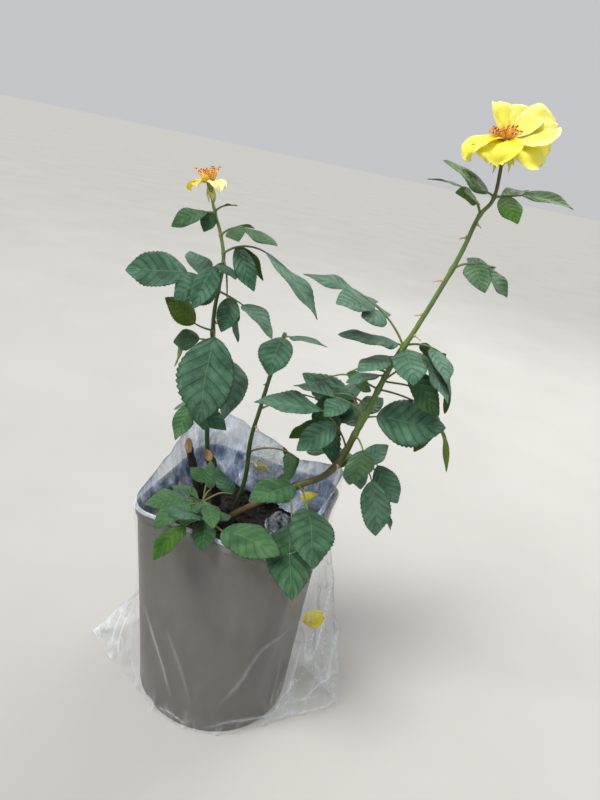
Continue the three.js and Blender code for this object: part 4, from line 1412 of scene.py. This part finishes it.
def petal(shape, root, out, face, form, curl, length, width, pale, seed):
    """One petal: narrow at its claw, broad, ruffled and rolled back at its far edge."""
    cup, ruffle, rolled = form
    across, spine, ups = blade_spine(root, out, face, length, PETAL_ROWS, curl)
    top = []
    low = []
    for k in range(PETAL_ROWS + 1):
        along = limited(k / PETAL_ROWS, 0.02, 0.97)
        half = width / 2 * sin(pi * along**1.5) ** 0.5
        forward = way_at(spine, k)
        top.append([])
        low.append([])
        for c in range(PETAL_COLUMNS + 1):
            side = 2 * c / PETAL_COLUMNS - 1
            edge = max(smooth_step(0.7, 1, abs(side)), smooth_step(0.78, 1, along))
            spot = Vector((side * 1.7 + seed, along * 2.1, seed * 0.7))
            lift = cup * half * abs(side) ** 1.5
            lift += ruffle * length * noise(spot * 1.3) * (0.3 + along)
            lift += ruffle * 0.3 * length * sin(6 * side + 3 * seed) * edge * along
            lift += 0.025 * length * noise(spot * 3.6) * (0.3 + edge)
            fold = abs(side - 0.25 * wobble(seed + 0.9) - 0.2 * (along - 0.5))
            lift -= 0.05 * length * exp(-fold * 9) * along
            lift -= rolled * length * smooth_step(0.72, 1, along) ** 2
            reach = side * half * (1 + 0.07 * noise(spot * 2.3))
            place = spine[k] + across * reach + ups[k] * lift
            scallop = noise(Vector((side * 3.1, seed, 0)))
            place = place + forward * (0.06 * length * scallop * smooth_step(0.7, 1, along))
            top[k].append(place + ups[k] * PETAL_HALF_THICKNESS)
            low[k].append(place - ups[k] * PETAL_HALF_THICKNESS)
    shape.add_blade(top, low, (0, 0), pale, rim=True)


def hip(shape, bloom, radius, height):
    """The swollen green foot of a bloom."""
    shares = [i / HIP_STEPS for i in range(HIP_STEPS + 1)]
    radii = [mix(radius * 0.5, radius, sin(pi * 0.62 * share)) for share in shares]
    tube(shape, [bloom.above(height * share) for share in shares], radii, HIP_SIDES, relief=0.15)


def stamens(shape, bloom, start, count, spread_out, length, seed):
    """A crowd of stamens: short ones in the middle, long ones with dark tips round them."""
    dice = random.Random(seed)
    for _ in range(count):
        angle = dice.uniform(0, 360)
        lean = 90 * sqrt(dice.uniform(0.02, 1))
        out = bloom.out(angle, 90 - lean * spread_out)
        outer = lean / 90
        tall = length * mix(0.5, 1.0, outer) * dice.uniform(0.7, 1.1)
        root = bloom.above(start) + bloom.out(angle, 0) * (0.4 + 2.8 * outer)
        aside = out.orthogonal().normalized() * dice.uniform(-1, 1)
        bend = bloom.up * (tall * 0.22) + aside
        line = [root + out * (tall * t) + bend * t * t for t in STAMEN_PLACES]
        tube(shape, line, STAMEN_RADII, STAMEN_SIDES)
        tip = line[-1]
        facing = (tip - line[-2]).normalized()
        across = facing.orthogonal().normalized()
        head = [tip + facing * 0.3 + across * t for t in STAMEN_TIP_PLACES]
        skin = 1 if dice.random() < 0.1 + 0.4 * outer**2 else 2
        tube(shape, head, STAMEN_TIP_RADII, STAMEN_TIP_SIDES, skin)


def sepals(shape, bloom, start, rise, length):
    """Narrow sepals folded back down the stalk."""
    for k in range(SEPAL_COUNT):
        angle = 20 + k * 360 / SEPAL_COUNT
        tall = length + 4 * wobble(k)
        out, face = bloom.out(angle, rise), bloom.out(angle, rise + 90)
        across, spine, ups = blade_spine(bloom.above(start), out, face, tall, SEPAL_ROWS, SEPAL_CURL)
        top = []
        for i in range(SEPAL_ROWS + 1):
            along = limited(i / SEPAL_ROWS, 0.01, 0.99)
            half = SEPAL_HALF_WIDTH * sin(pi * along**0.62) ** 0.85 * (1 - 0.45 * along)
            sway = 1.1 * sin(6 * along + k)
            top.append([spine[i] + across * (half * side + sway * along)
                        + ups[i] * (0.9 * abs(side) ** 1.5 * (1 - along))
                        for side in (-1, -0.6, -0.2, 0.2, 0.6, 1)])
        low = [[p - up * SEPAL_THICKNESS for p in row] for row, up in zip(top, ups)]
        shape.add_blade(top, low, (1, 1), 0.5)


def make_bloom(name, bloom, petals, form, curl, seed, crowd, sepal, plump, skin, slot):
    """One bloom: its petals, its green foot with the sepals, and its stamens.

    The form is how far petals cup, ruffle and roll back. The crowd is how many stamens there are,
    what share of a quarter turn the outer ones lean, their length and a seed. The sepals have a
    rise and a length.
    """
    heart = HIP_HEIGHT - 2
    shape = Shape()
    for k, (angle, rise, length, width, roll, pale, bulge) in enumerate(petals):
        out = bloom.out(angle, rise + bulge / 2)
        face = turn(bloom.out(angle, rise + bulge / 2 + 90), out, roll)
        petal(shape, bloom.above(heart), out, face, form, curl + bulge, length * (1 + bulge / 400),
              width, pale, seed + k)
    shape.build(f"{name}_petals", [skin], slot, [f"{name}_bloom"])
    green = Shape()
    hip(green, bloom, HIP_RADIUS * plump, HIP_HEIGHT)
    sepals(green, bloom, heart - 3, *sepal)
    green.build(f"{name}_sepals", ["hip", "sepal"], "green_cane")
    middle = Shape()
    stamens(middle, bloom, HIP_HEIGHT - 1, *crowd)
    middle.build(f"{name}_stamens", ["filament", "anther", "pollen"], slot)


def make_blooms():
    """The open bloom on the tall cane, the spent one on the left cane, and the fallen petals."""
    points = CANES["right"][2]
    bloom = Bloom(curve_point(points, 1) + way(points, 0.99) * 0.3, OPEN_AXIS)
    make_bloom("open", bloom, OPEN_PETALS, form=(0.22, 0.09, 0.1), curl=24, seed=1,
               crowd=(120, 0.8, 11, 11), sepal=(-48, 24), plump=1, skin="petal", slot="yellow_petal")
    points = CANES["left"][2]
    end_way = way(points, 0.995)
    bloom = Bloom(curve_point(points, 1) + end_way * 0.3, end_way + Vector((0.1, -0.1, 0.3)))
    make_bloom("spent", bloom, SPENT_PETALS, form=(0.3, 0.12, 0.06), curl=6, seed=31,
               crowd=(80, 0.45, 13, 12), sepal=(-62, 14), plump=0.62,
               skin="faded", slot="faded_petal")
    dropped = Shape()
    for k, (place, heading, rise, roll, length, width, pale) in enumerate(FALLEN_PETALS):
        out = pointing(heading, rise)
        face = turn(pointing(heading, rise + 90), out, roll)
        petal(dropped, Vector(place) - out * (length / 2), out, face, form=(0.35, 0.08, 0.05), curl=30,
              length=length, width=width, pale=pale, seed=51 + k)
    dropped.build("fallen_petals", ["fallen"], "yellow_petal")


# Scene


def make_floor():
    bpy.ops.mesh.primitive_plane_add(size=FLOOR_SIZE, location=(0, 0, -FLOOR_DROP))
    floor = bpy.context.active_object
    floor.name = "floor"
    floor.data.materials.append(MATERIALS["floor"])


def add_light(kind, name, place, towards, energy):
    """A lamp at a place, facing a way. Gives its settings."""
    bpy.ops.object.light_add(type=kind, location=place)
    lamp = bpy.context.active_object
    lamp.name = name
    lamp.data.energy = energy
    lamp.rotation_euler = Vector(towards).to_track_quat("-Z", "Y").to_euler()
    return lamp.data


def make_lights():
    """An even pale sky, a broad soft sun from the front left and a weaker lamp behind."""
    bpy.context.scene.view_settings.view_transform = "Standard"
    world = bpy.data.worlds.new("sky")
    bpy.context.scene.world = world
    world.use_nodes = True
    back = world.node_tree.nodes["Background"]
    back.inputs[0].default_value = SKY_COLOUR
    back.inputs[1].default_value = SKY_STRENGTH
    add_light("SUN", "key", (-0.9, -1.2, 2.4), (0.9, 1.2, -2.4), SUN_STRENGTH).angle = radians(SUN_SPREAD)
    add_light("AREA", "rim", (0.7, 1.7, 2.0), (-0.7, -1.7, -1.7), RIM_STRENGTH).size = RIM_SIZE


def make_camera():
    bpy.ops.object.camera_add(location=(0, 0, 0))
    camera = bpy.context.active_object
    camera.data.lens = CAMERA_LENS
    camera.data.sensor_width = CAMERA_SENSOR
    aim = CAMERA_LOOK.to_track_quat("-Z", "Y").to_matrix().to_4x4()
    roll = Matrix.Rotation(radians(CAMERA_ROLL), 4, "Z")
    camera.matrix_world = Matrix.Translation(CAMERA_AT * MILLIMETRE) @ aim @ roll
    bpy.context.scene.camera = camera


make_camera()
make_lights()
make_floor()
make_pot()
make_compost()
make_crown()
make_canes()
make_stubs()
make_leaves()
make_blooms()
make_film()
